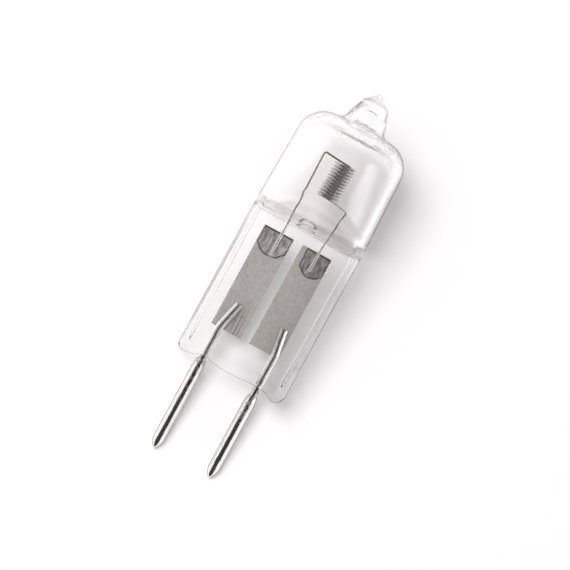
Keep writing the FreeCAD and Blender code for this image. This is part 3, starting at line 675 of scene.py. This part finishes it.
def pinched_half(quartz, x, z):
    """Half thickness that the jaws leave at a point of the pinch's face."""
    corner, step, foot_steepness, slope_round = 0.5, 0.5, 0.12, 0.9
    # Distance inwards from the web's outline, whose lower corners are round.
    across = quartz.pinch_half_width - quartz.rib_width - abs(x)
    up = (z - quartz.web_foot) * foot_steepness
    inwards = min(across, up)
    if max(across, up) < corner:
        inwards = corner - math.hypot(corner - across, corner - up)
    web = quartz.rib_half - (quartz.rib_half - quartz.web_half) * ease(inwards / step + 0.5)
    above = quartz.rib_half + (z - quartz.jaw_height) / math.tan(quartz.jaw_slope)
    return smooth_upper(web, above, slope_round)


def side_blend(above):
    """Width over which a round side turns into the pinched face: narrow in the pinch, wide up the slope."""
    narrow, growth, rise = 0.3, 0.9, 0.9
    return narrow + growth * ease(above / rise)


def skin_turns(quartz):
    """Angles for the columns of the skins, close where the pinch's edge and the side ribs run."""
    edge = math.degrees(math.asin(quartz.rib_half / quartz.pinch_half_width))
    steps = [0, 4, 8, 12, 14, 15.5, 16.5, 17.5, 18.3, edge, 19.8, 20.7, 21.8, 23.2, 25, 26.6]
    rib = quartz.pinch_half_width - quartz.rib_width
    steps += [math.degrees(math.acos((rib + aside) / quartz.pinch_half_width))
              for aside in (0.27, 0.21, 0.16, 0.11, 0.055, 0, -0.055, -0.11, -0.16, -0.21, -0.27)]
    steps.sort()
    last, front = steps[-1], 34
    steps += [last + (90 - last) * i / front for i in range(1, front + 1)]
    quarter = [math.radians(step) for step in steps]
    half = quarter + [math.pi - turn for turn in reversed(quarter[:-1])]
    return half + [turn + math.pi for turn in half[1:-1]]


def dome_centres(quartz):
    """Middles (radius, height) of the dome's shoulder and of the hollow round at the root of the tip."""
    shoulder = (quartz.shoulder_radius - quartz.shoulder_round, quartz.shoulder_height)
    root = (quartz.tip_root_radius + quartz.tip_root_round,
            quartz.shoulder_height + quartz.shoulder_round + quartz.tip_root_round)
    return shoulder, root


def outer_rings(quartz):
    """The envelope's outer skin, from its foot to the nipple."""
    turns = skin_turns(quartz)

    def pinched_ring(height_at, thinner=0.0, flat=1.0):
        row = []
        for turn in turns:
            z = height_at(quartz.pinch_half_width * math.cos(turn))
            radius = outer_radius(quartz, z)
            x, y = radius * math.cos(turn), radius * math.sin(turn)
            width = side_blend(z - quartz.jaw_height + 0.2)
            depth = smooth_lower(abs(y), pinched_half(quartz, x, z), width) if abs(y) > 1e-9 else 0.0
            depth = max(depth - thinner, depth * 0.3 if thinner else depth) * flat
            row.append(Vector((x, math.copysign(depth, y), z)))
        return row

    # The foot's edges are melted round.
    rings = [pinched_ring(lambda x: foot_height(quartz, x), EDGE_ROUND, i / 5) for i in range(5)]
    for turn in QUARTER_TURN:
        lift, inset = EDGE_ROUND * (1 - math.cos(turn)), EDGE_ROUND * (1 - math.sin(turn))
        rings.append(pinched_ring(lambda x: foot_height(quartz, x) + lift * edge_room(quartz, x), inset))
    for share in spaced(0, 1, 5):
        rings.append(pinched_ring(
            lambda x: (foot_height(quartz, x) + EDGE_ROUND * edge_room(quartz, x)) * (1 - share)
            + FIRST_LEVEL * share))
    heights = [0.9, 0.94, 0.97, 1.0, 1.03, 1.06, 1.1, 1.16, 1.25, 1.4, 1.6] + spaced(1.6, SLOPE_FOOT, 28)
    heights += spaced(SLOPE_FOOT, SLOPE_TOP, 60) + spaced(SLOPE_TOP, quartz.shoulder_height, 12)
    rings += [pinched_ring(lambda x: height) for height in heights]

    shoulder, root = dome_centres(quartz)
    profile = arc(shoulder, quartz.shoulder_round, 0, 90, 26)
    profile += arc(root, quartz.tip_root_round, 270, 180, 14)
    tip_top = root[1] + quartz.tip_length
    edge_round = quartz.tip_shoulder_round
    profile += straight(profile[-1], (quartz.tip_shoulder_radius, tip_top), 8)
    profile += arc((quartz.tip_shoulder_radius - edge_round, tip_top), edge_round, 12, 68, 7)
    profile += straight(profile[-1], (quartz.cap_radius, quartz.cap_height), 3)
    # From the cap up to the nipple the glass was drawn out hollow.
    for share in spaced(0, 1, 12):
        profile.append((quartz.cap_radius + (quartz.nipple_radius - quartz.cap_radius) * share,
                        quartz.cap_height + (quartz.nipple_height - quartz.cap_height) * share ** 1.1))
    nose = quartz.nipple_nose
    profile += straight(profile[-1], (nose, quartz.lamp_height - nose), 4)
    profile += arc((0, quartz.lamp_height - nose), nose, 0, 90, 7)
    return rings + turned(profile, turns)


def gas_rings(quartz):
    """The wall of the gas space: its floor, the inside of the tube and dome, and the hollow in the tip."""
    turns = skin_turns(quartz)
    slope, floor, bottom_round, side_round = quartz.jaw_slope, quartz.floor_height, quartz.floor_round, 0.35
    # The sides of the floor keep the heel's wall, and the floor between them is level.
    valley = quartz.jaw_height - quartz.rib_half * math.tan(slope) + quartz.heel_wall / math.cos(slope)
    level = ((floor + bottom_round * (1 - math.cos(slope)) - valley) / math.tan(slope)
             - bottom_round * math.sin(slope))
    rows = [(floor, half) for half in [0] + spaced(0, level, 12)]
    rows += [(floor + bottom_round * (1 - math.cos(slope * share)),
              level + bottom_round * math.sin(slope * share)) for share in spaced(0, 1, 6)]
    rows += [(height, (height - valley) / math.tan(slope)) for height in spaced(rows[-1][0], SLOPE_TOP, 34)]
    rows += [(height, quartz.pinch_half_width * 2)
             for height in spaced(SLOPE_TOP, quartz.shoulder_height, 14)]
    rings = []
    for height, half in rows:
        low = side_round - min(height - floor, side_round)
        radius = (outer_radius(quartz, height) - quartz.wall - side_round
                  + math.sqrt(side_round ** 2 - low ** 2))
        width = min(side_blend(height - floor), half * 2)
        # The squeezed floor isn't quite level.
        uneven = 0.06 * (1 - ease((height - floor) / 1.2))
        row = []
        for turn in turns:
            x, y = radius * math.cos(turn), radius * math.sin(turn)
            depth = smooth_lower(abs(y), half, width) if half and abs(y) > 1e-9 else 0.0
            z = height
            reach = (x + quartz.bead_offset) ** 2 + depth ** 2
            if reach < quartz.bead_radius ** 2:
                bead = (floor + quartz.bead_rise - quartz.bead_radius
                        + math.sqrt(quartz.bead_radius ** 2 - reach))
                z = smooth_upper(height, bead, 0.1)
            z += uneven * math.sin(0.8 * x + 0.7)
            row.append(Vector((x, math.copysign(depth, y), z)))
        rings.append(row)
    # The dome's inside keeps the wall's thickness up to the hollow in the tip.
    shoulder, root = dome_centres(quartz)
    profile = arc(shoulder, quartz.shoulder_round - quartz.wall, 0, 90, 20)
    profile += arc(root, quartz.tip_root_round + quartz.wall, 270, 200, 16)
    profile += straight(profile[-1], (quartz.funnel_radius, quartz.funnel_top - quartz.funnel_radius), 6)
    profile += arc((0, quartz.funnel_top - quartz.funnel_radius), quartz.funnel_radius, 0, 90, 12)
    return rings + turned(profile, turns)


def lead_path(side, seal, pins, lowest):
    """Middle line of an outer lead from a height up to its welded end, straight and then turned inwards."""
    x = OUTWARD[side] * pins.spacing / 2
    inset, top = getattr(seal, f"lead_{side}_inset"), getattr(seal, f"lead_{side}_top")
    return rounded_path([Vector((x, 0, lowest)), Vector((x, 0, seal.crank_height)),
                         Vector((x - OUTWARD[side] * inset, 0, top))], [seal.crank_round], 0.12)


def coil_frame(wire):
    """Height of the coil, its middle and its lean."""
    height = wire.pitch * wire.turns
    return height, Vector((wire.offset, 0, wire.top - height / 2)), Matrix.Rotation(wire.lean, 3, "Y")


def leg_path(side, wire, seal, step):
    """Middle line of a filament's leg: out from the coil, round its bend, down to the foil and its weld."""
    height, middle, lean = coil_frame(wire)
    outward = OUTWARD[side]
    start = middle + lean @ Vector((0, -wire.coil_radius, -outward * height / 2))
    direction = lean @ (Vector((-2 * math.pi * wire.coil_radius, 0, wire.pitch)).normalized() * -outward)
    bend = start + direction * (outward * getattr(wire, f"{side}_bend") - start.x) / direction.x
    met = Vector((outward * wire.weld_offset, seal.lead_radius - wire.wire_radius, wire.set_height))
    return rounded_path([start, bend, met, Vector((met.x, met.y, wire.weld_foot))],
                        [wire.bend_round, wire.set_round], step)


def pocket_middle(side, seal):
    """Place across of a pocket's middle: on its foil's, but the right one stands outwards."""
    shift = seal.pocket_shift if side == "right" else 0
    return OUTWARD[side] * (getattr(seal, f"foil_{side}") + shift)


def pocket_outline(side, seal, x, z):
    """Distance inwards from the D-shaped pocket's outline."""
    off = x - pocket_middle(side, seal)
    half = getattr(seal, f"pocket_{side}")
    sag = seal.pocket_side - seal.pocket_foot
    radius = (half ** 2 + sag ** 2) / (2 * sag)
    inside = min(half - abs(off), seal.foil_top - z)
    if z < seal.pocket_side:
        inside = radius - math.hypot(off, z - (seal.pocket_side + radius - sag))
    # The edge wavers a little, as the quartz wetted the foil unevenly.
    waver = 0.035 * math.sin(5.1 * x + 2.3 * z) + 0.025 * math.sin(9.7 * z + OUTWARD[side])
    return inside + waver * ease((seal.foil_top - z) / 0.4)


def pocket_rings(side, seal, wire):
    """The pocket in front of a foil, where the quartz stands off it, opened out along the leg's weld."""
    weld_x = OUTWARD[side] * wire.weld_offset
    centre = Vector((pocket_middle(side, seal), (seal.foil_top + seal.pocket_foot) / 2))
    front, back = seal.lead_radius - seal.pocket_depth, seal.lead_radius + seal.foil_thickness / 3
    roll_width = 0.16
    outline = []
    for turn in full_turn(160):
        way = Vector((math.cos(turn), math.sin(turn)))
        # The outline lies between these two distances, which close in on it.
        low, high = 0.0, 4.0
        for _ in range(24):
            half = (low + high) / 2
            point = centre + way * half
            if pocket_outline(side, seal, point.x, point.y) > 0:
                low = half
            else:
                high = half
        outline.append(way * low)

    def depth_at(point):
        """Depth of the pocket's front, nearer where the leg lies and at its lower end."""
        aside = abs(point.x - weld_x)
        room = wire.wire_radius + seal.gap
        reach = math.sqrt(max(room ** 2 - aside ** 2, 0)) * ease((point.y - wire.weld_foot + 0.1) / 0.12)
        over_leg = seal.lead_radius - wire.wire_radius - reach
        return smooth_lower(front, over_leg, 0.03) if aside < room else front

    rings = []
    for share in [0] + spaced(0, 1, 34):
        row = []
        for way in outline:
            point = centre + way * share
            # The front rolls over into the outline, like the edge of a drop.
            roll = 1 - ease(way.length * (1 - share) / roll_width)
            row.append(Vector((point.x, depth_at(point) * (1 - roll ** 2) + back * roll ** 2, point.y)))
        rings.append(row)
    for share in (0.7, 0.35, 0.0):
        rings.append([Vector((centre.x + way.x * share, back, centre.y + way.y * share)) for way in outline])
    return rings


class CAPSULE_OT_quartz_envelope(bpy.types.Operator):
    """Blow and pinch the quartz envelope, with its gas space and the fine hollows round the seal"""

    bl_idname = "capsule_bulb.quartz_envelope"
    bl_label = "Quartz Envelope"
    bl_options = {"REGISTER", "UNDO"}

    def execute(self, context):
        quartz = in_millimetres(context, "quartz_sizes")
        seal = in_millimetres(context, "seal_sizes")
        wire = in_millimetres(context, "filament_sizes")
        pins = in_millimetres(context, "pin_sizes")
        envelope = bmesh.new()
        add_surface(envelope, outer_rings(quartz))
        hollows = [gas_rings(quartz)]
        for side, outward in OUTWARD.items():
            foot = foot_height(quartz, outward * pins.spacing / 2) + FILM
            path = lead_path(side, seal, pins, foot)
            path.append(path[-1] + (path[-1] - path[-2]).normalized() * seal.gap)
            hollows.append(rod_rings(path, seal.lead_radius + seal.gap, 40, 0.05, 0.18))
            hollows.append(pocket_rings(side, seal, wire))
            channel = [p for p in reversed(leg_path(side, wire, seal, 0.08))
                       if seal.foil_top + FILM < p.z < quartz.floor_height - 2 * FILM]
            hollows.append(rod_rings(channel, wire.wire_radius + seal.leg_gap, 24, 0.03, 0.03))
        for x, y, z, radius in BUBBLES:
            bubble = arc((0, z), radius, -90, 90, 10)
            hollows.append(turned([(0, z - radius)] + bubble[:-1] + [(0, z + radius)], full_turn(20), (x, y)))
        # A drawn-out bubble in the glass bead.
        bubble = straight((-0.42, 17.36), (0.5, 17.16), 8)
        hollows.append(rod_rings([Vector((x, -0.1, z)) for x, z in bubble], 0.085, 20, 0.08, 0.08))
        for rings in hollows:
            add_surface(envelope, rings, hollow=True)
        material = fused_quartz(context.scene.lamp_colours)
        piece = lamp_object("envelope_quartz", envelope, material, "quartz_envelope")
        mark_points(piece, ("painted_outline", "floor_round"), lambda point: self.marks(quartz, point))
        return {"FINISHED"}

    def marks(self, quartz, point):
        """How strongly the painted dark outline shows at a point, and its share of the see-through round of
        the floor.
        """
        on_bead, on_edge, clearest = 2.0, 0.8, 0.72
        above = point.z - quartz.floor_height
        from_bead = math.hypot(point.x + quartz.bead_offset, point.y)
        if -0.2 < above < quartz.bead_rise + 0.1 and from_bead < quartz.bead_radius + 0.03:
            return on_bead, 0.0
        # The foot's edge, without the middle of its underside.
        on_foot = abs(point.y) > 0.6 and point.z - foot_height(quartz, point.x) < 0.3
        # The floor's round clears from 0.4 mm below it and is gone 0.8 mm above it.
        return on_edge if on_foot else 0.0, clearest * ease(min(above + 0.4, 0.8 - above) / 0.4)


# Filament

class CAPSULE_OT_filament(bpy.types.Operator):
    """Wind the filament's coil and bend its two legs, all of one wire"""

    bl_idname = "capsule_bulb.filament"
    bl_label = "Filament"
    bl_options = {"REGISTER", "UNDO"}

    def execute(self, context):
        wire = in_millimetres(context, "filament_sizes")
        seal = in_millimetres(context, "seal_sizes")
        height, middle, lean = coil_frame(wire)
        steps = 72 * wire.turns
        coil = []
        for i in range(steps + 1):
            turn = 2 * math.pi * wire.turns * i / steps
            coil.append(middle + lean @ Vector((-wire.coil_radius * math.sin(turn),
                                                -wire.coil_radius * math.cos(turn),
                                                height * (i / steps - 0.5))))
        right, left = (leg_path(side, wire, seal, 0.06) for side in ("right", "left"))
        rings = rod_rings(right[::-1][:-1] + coil + left[1:], wire.wire_radius, 16, 0.03, 0.03)
        mesh = bmesh.new()
        add_surface(mesh, self.thickened(rings, wire))
        lamp_object("filament_wire", mesh, drawn_tungsten(context.scene.lamp_colours), "filament")
        return {"FINISHED"}

    def thickened(self, rings, wire):
        """The wire's rings, fuller where the wire runs round the coil."""
        height, middle, lean = coil_frame(wire)
        upright = lean.inverted()
        fuller = []
        for row in rings:
            centre = sum(row, Vector()) / len(row)
            off = upright @ (centre - middle)
            in_coil = ease(1 - (math.hypot(off.x, off.y) - wire.coil_radius) / 0.5)
            if abs(off.z) >= height / 2 + 0.3:
                in_coil = 0
            growth = 1 + (wire.coil_wire_radius / wire.wire_radius - 1) * in_coil
            fuller.append([centre + (point - centre) * growth for point in row])
        return fuller


# Seal: foils and outer leads

class CAPSULE_OT_foils(bpy.types.Operator):
    """Roll the two sealing foils, with feathered edges, creases at the lead's weld, streaked pockets and a
    painted shade line round the pockets and along the creases
    """

    bl_idname = "capsule_bulb.foils"
    bl_label = "Sealing Foils"
    bl_options = {"REGISTER", "UNDO"}

    def execute(self, context):
        seal = in_millimetres(context, "seal_sizes")
        material = rolled_molybdenum(context.scene.lamp_colours)
        for side, outward in OUTWARD.items():
            middle = outward * getattr(seal, f"foil_{side}")
            mesh = bmesh.new()
            add_surface(mesh, self.foil_rings(seal, side, middle))
            foil = lamp_object(f"foil_{side}_sheet", mesh, material, f"foil_{side}")
            mark_points(foil, ("pocket_inside", "painted_shade_line"),
                        lambda point: self.marks(seal, side, middle, point))
        return {"FINISHED"}

    def marks(self, seal, side, middle, point):
        """Share of the pocket at a point of a foil, and of the painted shade line round the pocket and along
        the folds.
        """
        darkest_line, darkest_fold = 0.95, 0.45
        inwards = pocket_outline(side, seal, point.x, point.z)
        below_top = seal.foil_top - point.z
        # The line runs just inside the pocket's outline, and broader along the foil's upper end.
        outline = max(ease(1.4 - abs(inwards - 0.05) / 0.09),
                      ease((0.24 - below_top) / 0.08) * ease(inwards / 0.03 + 1))
        # Painted shade: the foil is darkened along its folds.
        folds = self.crease(seal, side, point.x - middle, point.z) * 6
        return ease(inwards / 0.06 + 0.5), max(darkest_line * outline, min(folds, darkest_fold))

    def crease(self, seal, side, aside, z):
        """Height of the folds that the lead's weld pressed into the left foil."""
        if side == "right":
            return 0.0
        # Each fold's place on the foil and its height. They run out 8.2 mm up.
        folds = ((0.35, 0.05), (0.78, 0.07), (1.12, 0.05))
        reach = ease((8.2 - z) / 3)
        return sum(depth * reach * math.exp(-((aside - place + 0.02 * (z - 5)) / 0.09) ** 2)
                   for place, depth in folds)

    def foil_rings(self, seal, side, middle):
        """Rings round a foil's thin section, from its foot to its top."""
        half = seal.foil_width / 2
        columns, rows = 96, 330
        across = [-half + seal.foil_width * i / columns for i in range(columns + 1)]
        y = seal.lead_radius + seal.foil_thickness / 2
        rings = []
        for i in range(rows + 1):
            z = seal.foil_foot + (seal.foil_top - seal.foil_foot) * i / rows
            front, back = [], []
            for aside in across:
                from_edge = half - abs(aside)
                thick = seal.foil_thickness / 2 * min(1, from_edge / seal.foil_feather + 0.04)
                # The etched edge is a little ragged, and the foil is creased along the lead's weld.
                ragged = 0.02 * math.sin(13 * z + 40 * aside) * ease(1 - from_edge / 0.15)
                crease = self.crease(seal, side, aside, z)
                front.append(Vector((middle + aside + ragged, y - thick - crease, z)))
                back.append(Vector((middle + aside + ragged, y + thick - crease, z)))
            rings.append(front + back[::-1])
        ends = []
        for row in (rings[0], rings[-1]):
            line = [Vector((p.x, (p.y + q.y) / 2, p.z)) for p, q in zip(row[:columns + 1], row[::-1])]
            ends.append(line + line[::-1])
        return [ends[0]] + rings + [ends[1]]


class CAPSULE_OT_leads(bpy.types.Operator):
    """Bend the two outer leads, which come up out of the sleeves and are welded to the foils"""

    bl_idname = "capsule_bulb.leads"
    bl_label = "Outer Leads"
    bl_options = {"REGISTER", "UNDO"}

    def execute(self, context):
        seal = in_millimetres(context, "seal_sizes")
        pins = in_millimetres(context, "pin_sizes")
        material = drawn_molybdenum(context.scene.lamp_colours)
        for side in OUTWARD:
            lowest = getattr(pins, f"{side}_mouth") - pins.bore_depth + pins.bore_gap
            mesh = bmesh.new()
            add_surface(mesh, rod_rings(lead_path(side, seal, pins, lowest), seal.lead_radius, 48, 0.05, 0.2))
            lamp_object(f"lead_{side}_rod", mesh, material, f"outer_lead_{side}")
        return {"FINISHED"}


# Contact sleeves

class CAPSULE_OT_sleeves(bpy.types.Operator):
    """Turn the two plated contact sleeves, bored for the leads and drawn to a point"""

    bl_idname = "capsule_bulb.sleeves"
    bl_label = "Contact Sleeves"
    bl_options = {"REGISTER", "UNDO"}

    def execute(self, context):
        pins = in_millimetres(context, "pin_sizes")
        seal = in_millimetres(context, "seal_sizes")
        material = bright_nickel(context.scene.lamp_colours)
        for side, outward in OUTWARD.items():
            profile = self.sleeve_profile(pins, seal, getattr(pins, f"{side}_mouth"))
            mesh = bmesh.new()
            add_surface(mesh, turned(profile, full_turn(72), (outward * pins.spacing / 2, 0)))
            lamp_object(f"sleeve_{side}_plated", mesh, material, f"pin_sleeve_{side}")
        return {"FINISHED"}

    def sleeve_profile(self, pins, seal, mouth):
        """Profile (radius, height) of a sleeve: up its bore, over its lip and down to its point."""
        bore = seal.lead_radius + pins.bore_gap
        bottom = mouth - pins.bore_depth
        lip = pins.mouth_wall / 2
        profile = [(0, bottom)] + straight((0, bottom), (bore, bottom), 2)
        profile += straight((bore, bottom), (bore, mouth - lip), 24)
        profile += arc((bore + lip, mouth - lip), lip, 180, 0, 8)
        narrow = bore + pins.mouth_wall
        for share in spaced(0, 1, 18):
            profile.append((narrow + (pins.radius - narrow) * math.sin(math.pi / 2 * share),
                            mouth - lip - (pins.shoulder - lip) * share))
        to_side = pins.ogive_round - pins.radius
        point = math.sqrt(pins.ogive_round ** 2 - (to_side + pins.end_radius) ** 2)
        profile += straight(profile[-1], (pins.radius, point - pins.end_depth), 40)
        widest = math.degrees(math.asin(point / pins.ogive_round))
        profile += arc((-to_side, point - pins.end_depth), pins.ogive_round, 0, -widest, 28)
        return profile + [(0, -pins.end_depth)]


# Studio

class CAPSULE_OT_studio(bpy.types.Operator):
    """Set the white table, the room, plain soft lights and the camera round the lamp"""

    bl_idname = "capsule_bulb.studio"
    bl_label = "Studio"
    bl_options = {"REGISTER", "UNDO"}

    def execute(self, context):
        studio = in_millimetres(context, "studio_sizes")
        self.table(context, studio.floor_half * MM)
        self.room(context)
        self.lights(context)
        self.camera(context, studio)
        context.scene.view_settings.view_transform = "Standard"
        return {"FINISHED"}

    def table(self, context, half):
        mesh = bpy.data.meshes.new("table_top")
        mesh.from_pydata([(-half, -half, 0), (half, -half, 0), (half, half, 0), (-half, half, 0)], [],
                         [(0, 1, 2, 3)])
        mesh.materials.append(white_table(context.scene.lamp_colours))
        table = bpy.data.objects.new("table_top", mesh)
        context.scene.collection.objects.link(table)

    def room(self, context):
        """A white room that shines softly on the lamp, and is dark over it for what mirrors it."""
        world = bpy.data.worlds.new("white_room")
        world.use_nodes = True
        tree = world.node_tree
        tree.nodes.clear()
        way = node(tree, "ShaderNodeSeparateXYZ",
                   Vector=node(tree, "ShaderNodeTexCoord").outputs["Generated"])
        aside = node(tree, "ShaderNodeMath", SIZE_OF, _0=way.outputs["Y"])
        ends = node(tree, "ShaderNodeMath", SIZE_OF, _0=way.outputs["X"])
        ends = node(tree, "ShaderNodeMath", TIMES, _0=ends, _1=0.72)
        outwards = node(tree, "ShaderNodeMath", LARGER, _0=aside, _1=ends)
        rays = node(tree, "ShaderNodeLightPath").outputs
        # Bright metal in the open mirrors a dark band along the ceiling, and so does metal inside the quartz.
        on_pins = node(tree, "ShaderNodeValToRGB",
                       {"stops": ((0.0, 0.03), (0.56, 0.05), (0.72, 1.0), (1.0, 1.0))}, Fac=aside)
        inside = node(tree, "ShaderNodeValToRGB",
                      {"stops": ((0.0, 0.02), (0.62, 0.04), (0.76, 1.0), (1.0, 1.0))}, Fac=outwards)
        mirrored = node(tree, "ShaderNodeMix", BLEND, Factor=rays["Is Transmission Ray"], _6=on_pins,
                        _7=inside)
        # Light that the quartz alone has turned back sees the plain white room.
        turned_back = node(tree, "ShaderNodeMath", OVER, _0=rays["Glossy Depth"], _1=1.5)
        one_wall = node(tree, "ShaderNodeMath", UNDER, _0=rays["Transmission Depth"], _1=2.5)
        in_glass = node(tree, "ShaderNodeMath", LARGER, _0=turned_back, _1=one_wall)
        through_glass = node(tree, "ShaderNodeMath", TIMES, _0=in_glass, _1=rays["Is Transmission Ray"])
        mirrored = node(tree, "ShaderNodeMix", BLEND, Factor=through_glass, _6=mirrored,
                        _7=(0.9, 0.9, 0.9, 1))
        lit = node(tree, "ShaderNodeValToRGB",
                   {"stops": ((0.0, 0.37), (0.3, 0.58), (0.70, 0.58), (0.84, 0.2), (1.0, 0.13))},
                   Fac=way.outputs["Z"])
        glossy = node(tree, "ShaderNodeMath", LARGER, _0=rays["Is Glossy Ray"],
                      _1=rays["Is Transmission Ray"])
        brightness = node(tree, "ShaderNodeMix", BLEND, Factor=glossy, _6=lit, _7=mirrored)
        light = node(tree, "ShaderNodeBackground", Color=brightness, Strength=1.0)
        white = node(tree, "ShaderNodeBackground", Color=(1, 1, 1, 1), Strength=1.0)
        mixed = node(tree, "ShaderNodeMixShader", Fac=rays["Is Camera Ray"], _1=light, _2=white)
        node(tree, "ShaderNodeOutputWorld", Surface=mixed)
        context.scene.world = world

    def lights(self, context):
        """A soft box high on the picture's upper left, and a bright strip on the right for the sheen."""
        steepness, distance, side, power = math.radians(68), 0.7, 0.38, 3.4
        place = Vector((0.04, math.cos(steepness), math.sin(steepness))) * distance
        key = self.soft_box(context, "key_soft_box", place, -place, Vector((1, 0, 0)), (side, side), power)
        key.visible_glossy = key.visible_transmission = False
        # The strip runs round the lamp, from high beside the dome to low beside the pinch.
        lamp, reach = lamp_matrix(), 100
        ends = []
        for turn, height in ((47, 33.7), (88, 21.5)):
            turn = math.radians(turn)
            ends.append(lamp @ Vector((reach * math.sin(turn), -reach * math.cos(turn), height)))
        middle, run = (ends[0] + ends[1]) / 2, ends[1] - ends[0]
        bulb = lamp @ Vector((0, 0, 22))
        for name, width, power in (("side_strip", 0.005, 0.003), ("side_strip_glow", 0.01, 0.005)):
            strip = self.soft_box(context, name, middle, bulb - middle, run, (run.length, width), power)
            strip.visible_diffuse = False

    def soft_box(self, context, name, place, facing, side, size, power):
        """An oblong lamp at a place, facing one way, with its long side along another."""
        lamp = bpy.data.lights.new(name, "AREA")
        lamp.shape = "RECTANGLE"
        lamp.size, lamp.size_y = size
        lamp.energy = power
        light = bpy.data.objects.new(name, lamp)
        context.scene.collection.objects.link(light)
        back = -facing.normalized()
        right = (side - back * side.dot(back)).normalized()
        light.matrix_world = set_up(place, right, back.cross(right), back)
        return light

    def camera(self, context, studio):
        """The camera looks square on to the pinch's face through a long lens."""
        lamp = lamp_matrix()
        turn = studio.view_turn
        axes = lamp.to_3x3()
        across, through, along = (axes.col[i].normalized() for i in range(3))
        right = across * math.cos(turn) + along * math.sin(turn)
        up = along * math.cos(turn) - across * math.sin(turn)
        target = lamp @ Vector((studio.view_across, 0, studio.view_along))
        camera = bpy.data.cameras.new("camera")
        camera.sensor_width = 36
        camera.lens = camera.sensor_width * studio.distance / studio.view_width
        camera.clip_start, camera.clip_end = 0.01, 10
        holder = bpy.data.objects.new("camera", camera)
        context.scene.collection.objects.link(holder)
        holder.matrix_world = set_up(target - through * studio.distance * MM, right, up, -through)
        context.scene.camera = holder


class CAPSULE_PT_panel(bpy.types.Panel):
    """Lists the pieces of the lamp and the studio"""

    bl_idname = "CAPSULE_PT_panel"
    bl_label = "Capsule Bulb"
    bl_space_type = "VIEW_3D"
    bl_region_type = "UI"
    bl_category = "Capsule Bulb"

    def draw(self, context):
        for maker in MAKERS:
            self.layout.operator(maker.bl_idname)
        for group in GROUPS:
            values = getattr(context.scene, group)
            box = self.layout.box()
            box.label(text=group.replace("_", " ").capitalize())
            for name in GROUPS[group].__annotations__:
                box.prop(values, name)


MAKERS = (
    CAPSULE_OT_quartz_envelope,
    CAPSULE_OT_filament,
    CAPSULE_OT_foils,
    CAPSULE_OT_leads,
    CAPSULE_OT_sleeves,
    CAPSULE_OT_studio,
)
CLASSES = (*GROUPS.values(), *MAKERS, CAPSULE_PT_panel)


def register():
    for item in CLASSES:
        bpy.utils.register_class(item)
    for group, kind in GROUPS.items():
        setattr(bpy.types.Scene, group, PointerProperty(type=kind))


def unregister():
    for group in GROUPS:
        delattr(bpy.types.Scene, group)
    for item in reversed(CLASSES):
        bpy.utils.unregister_class(item)


def main():
    register()
    bpy.ops.capsule_bulb.quartz_envelope()
    bpy.ops.capsule_bulb.filament()
    bpy.ops.capsule_bulb.foils()
    bpy.ops.capsule_bulb.leads()
    bpy.ops.capsule_bulb.sleeves()
    bpy.ops.capsule_bulb.studio()


if __name__ == "__main__":
    main()
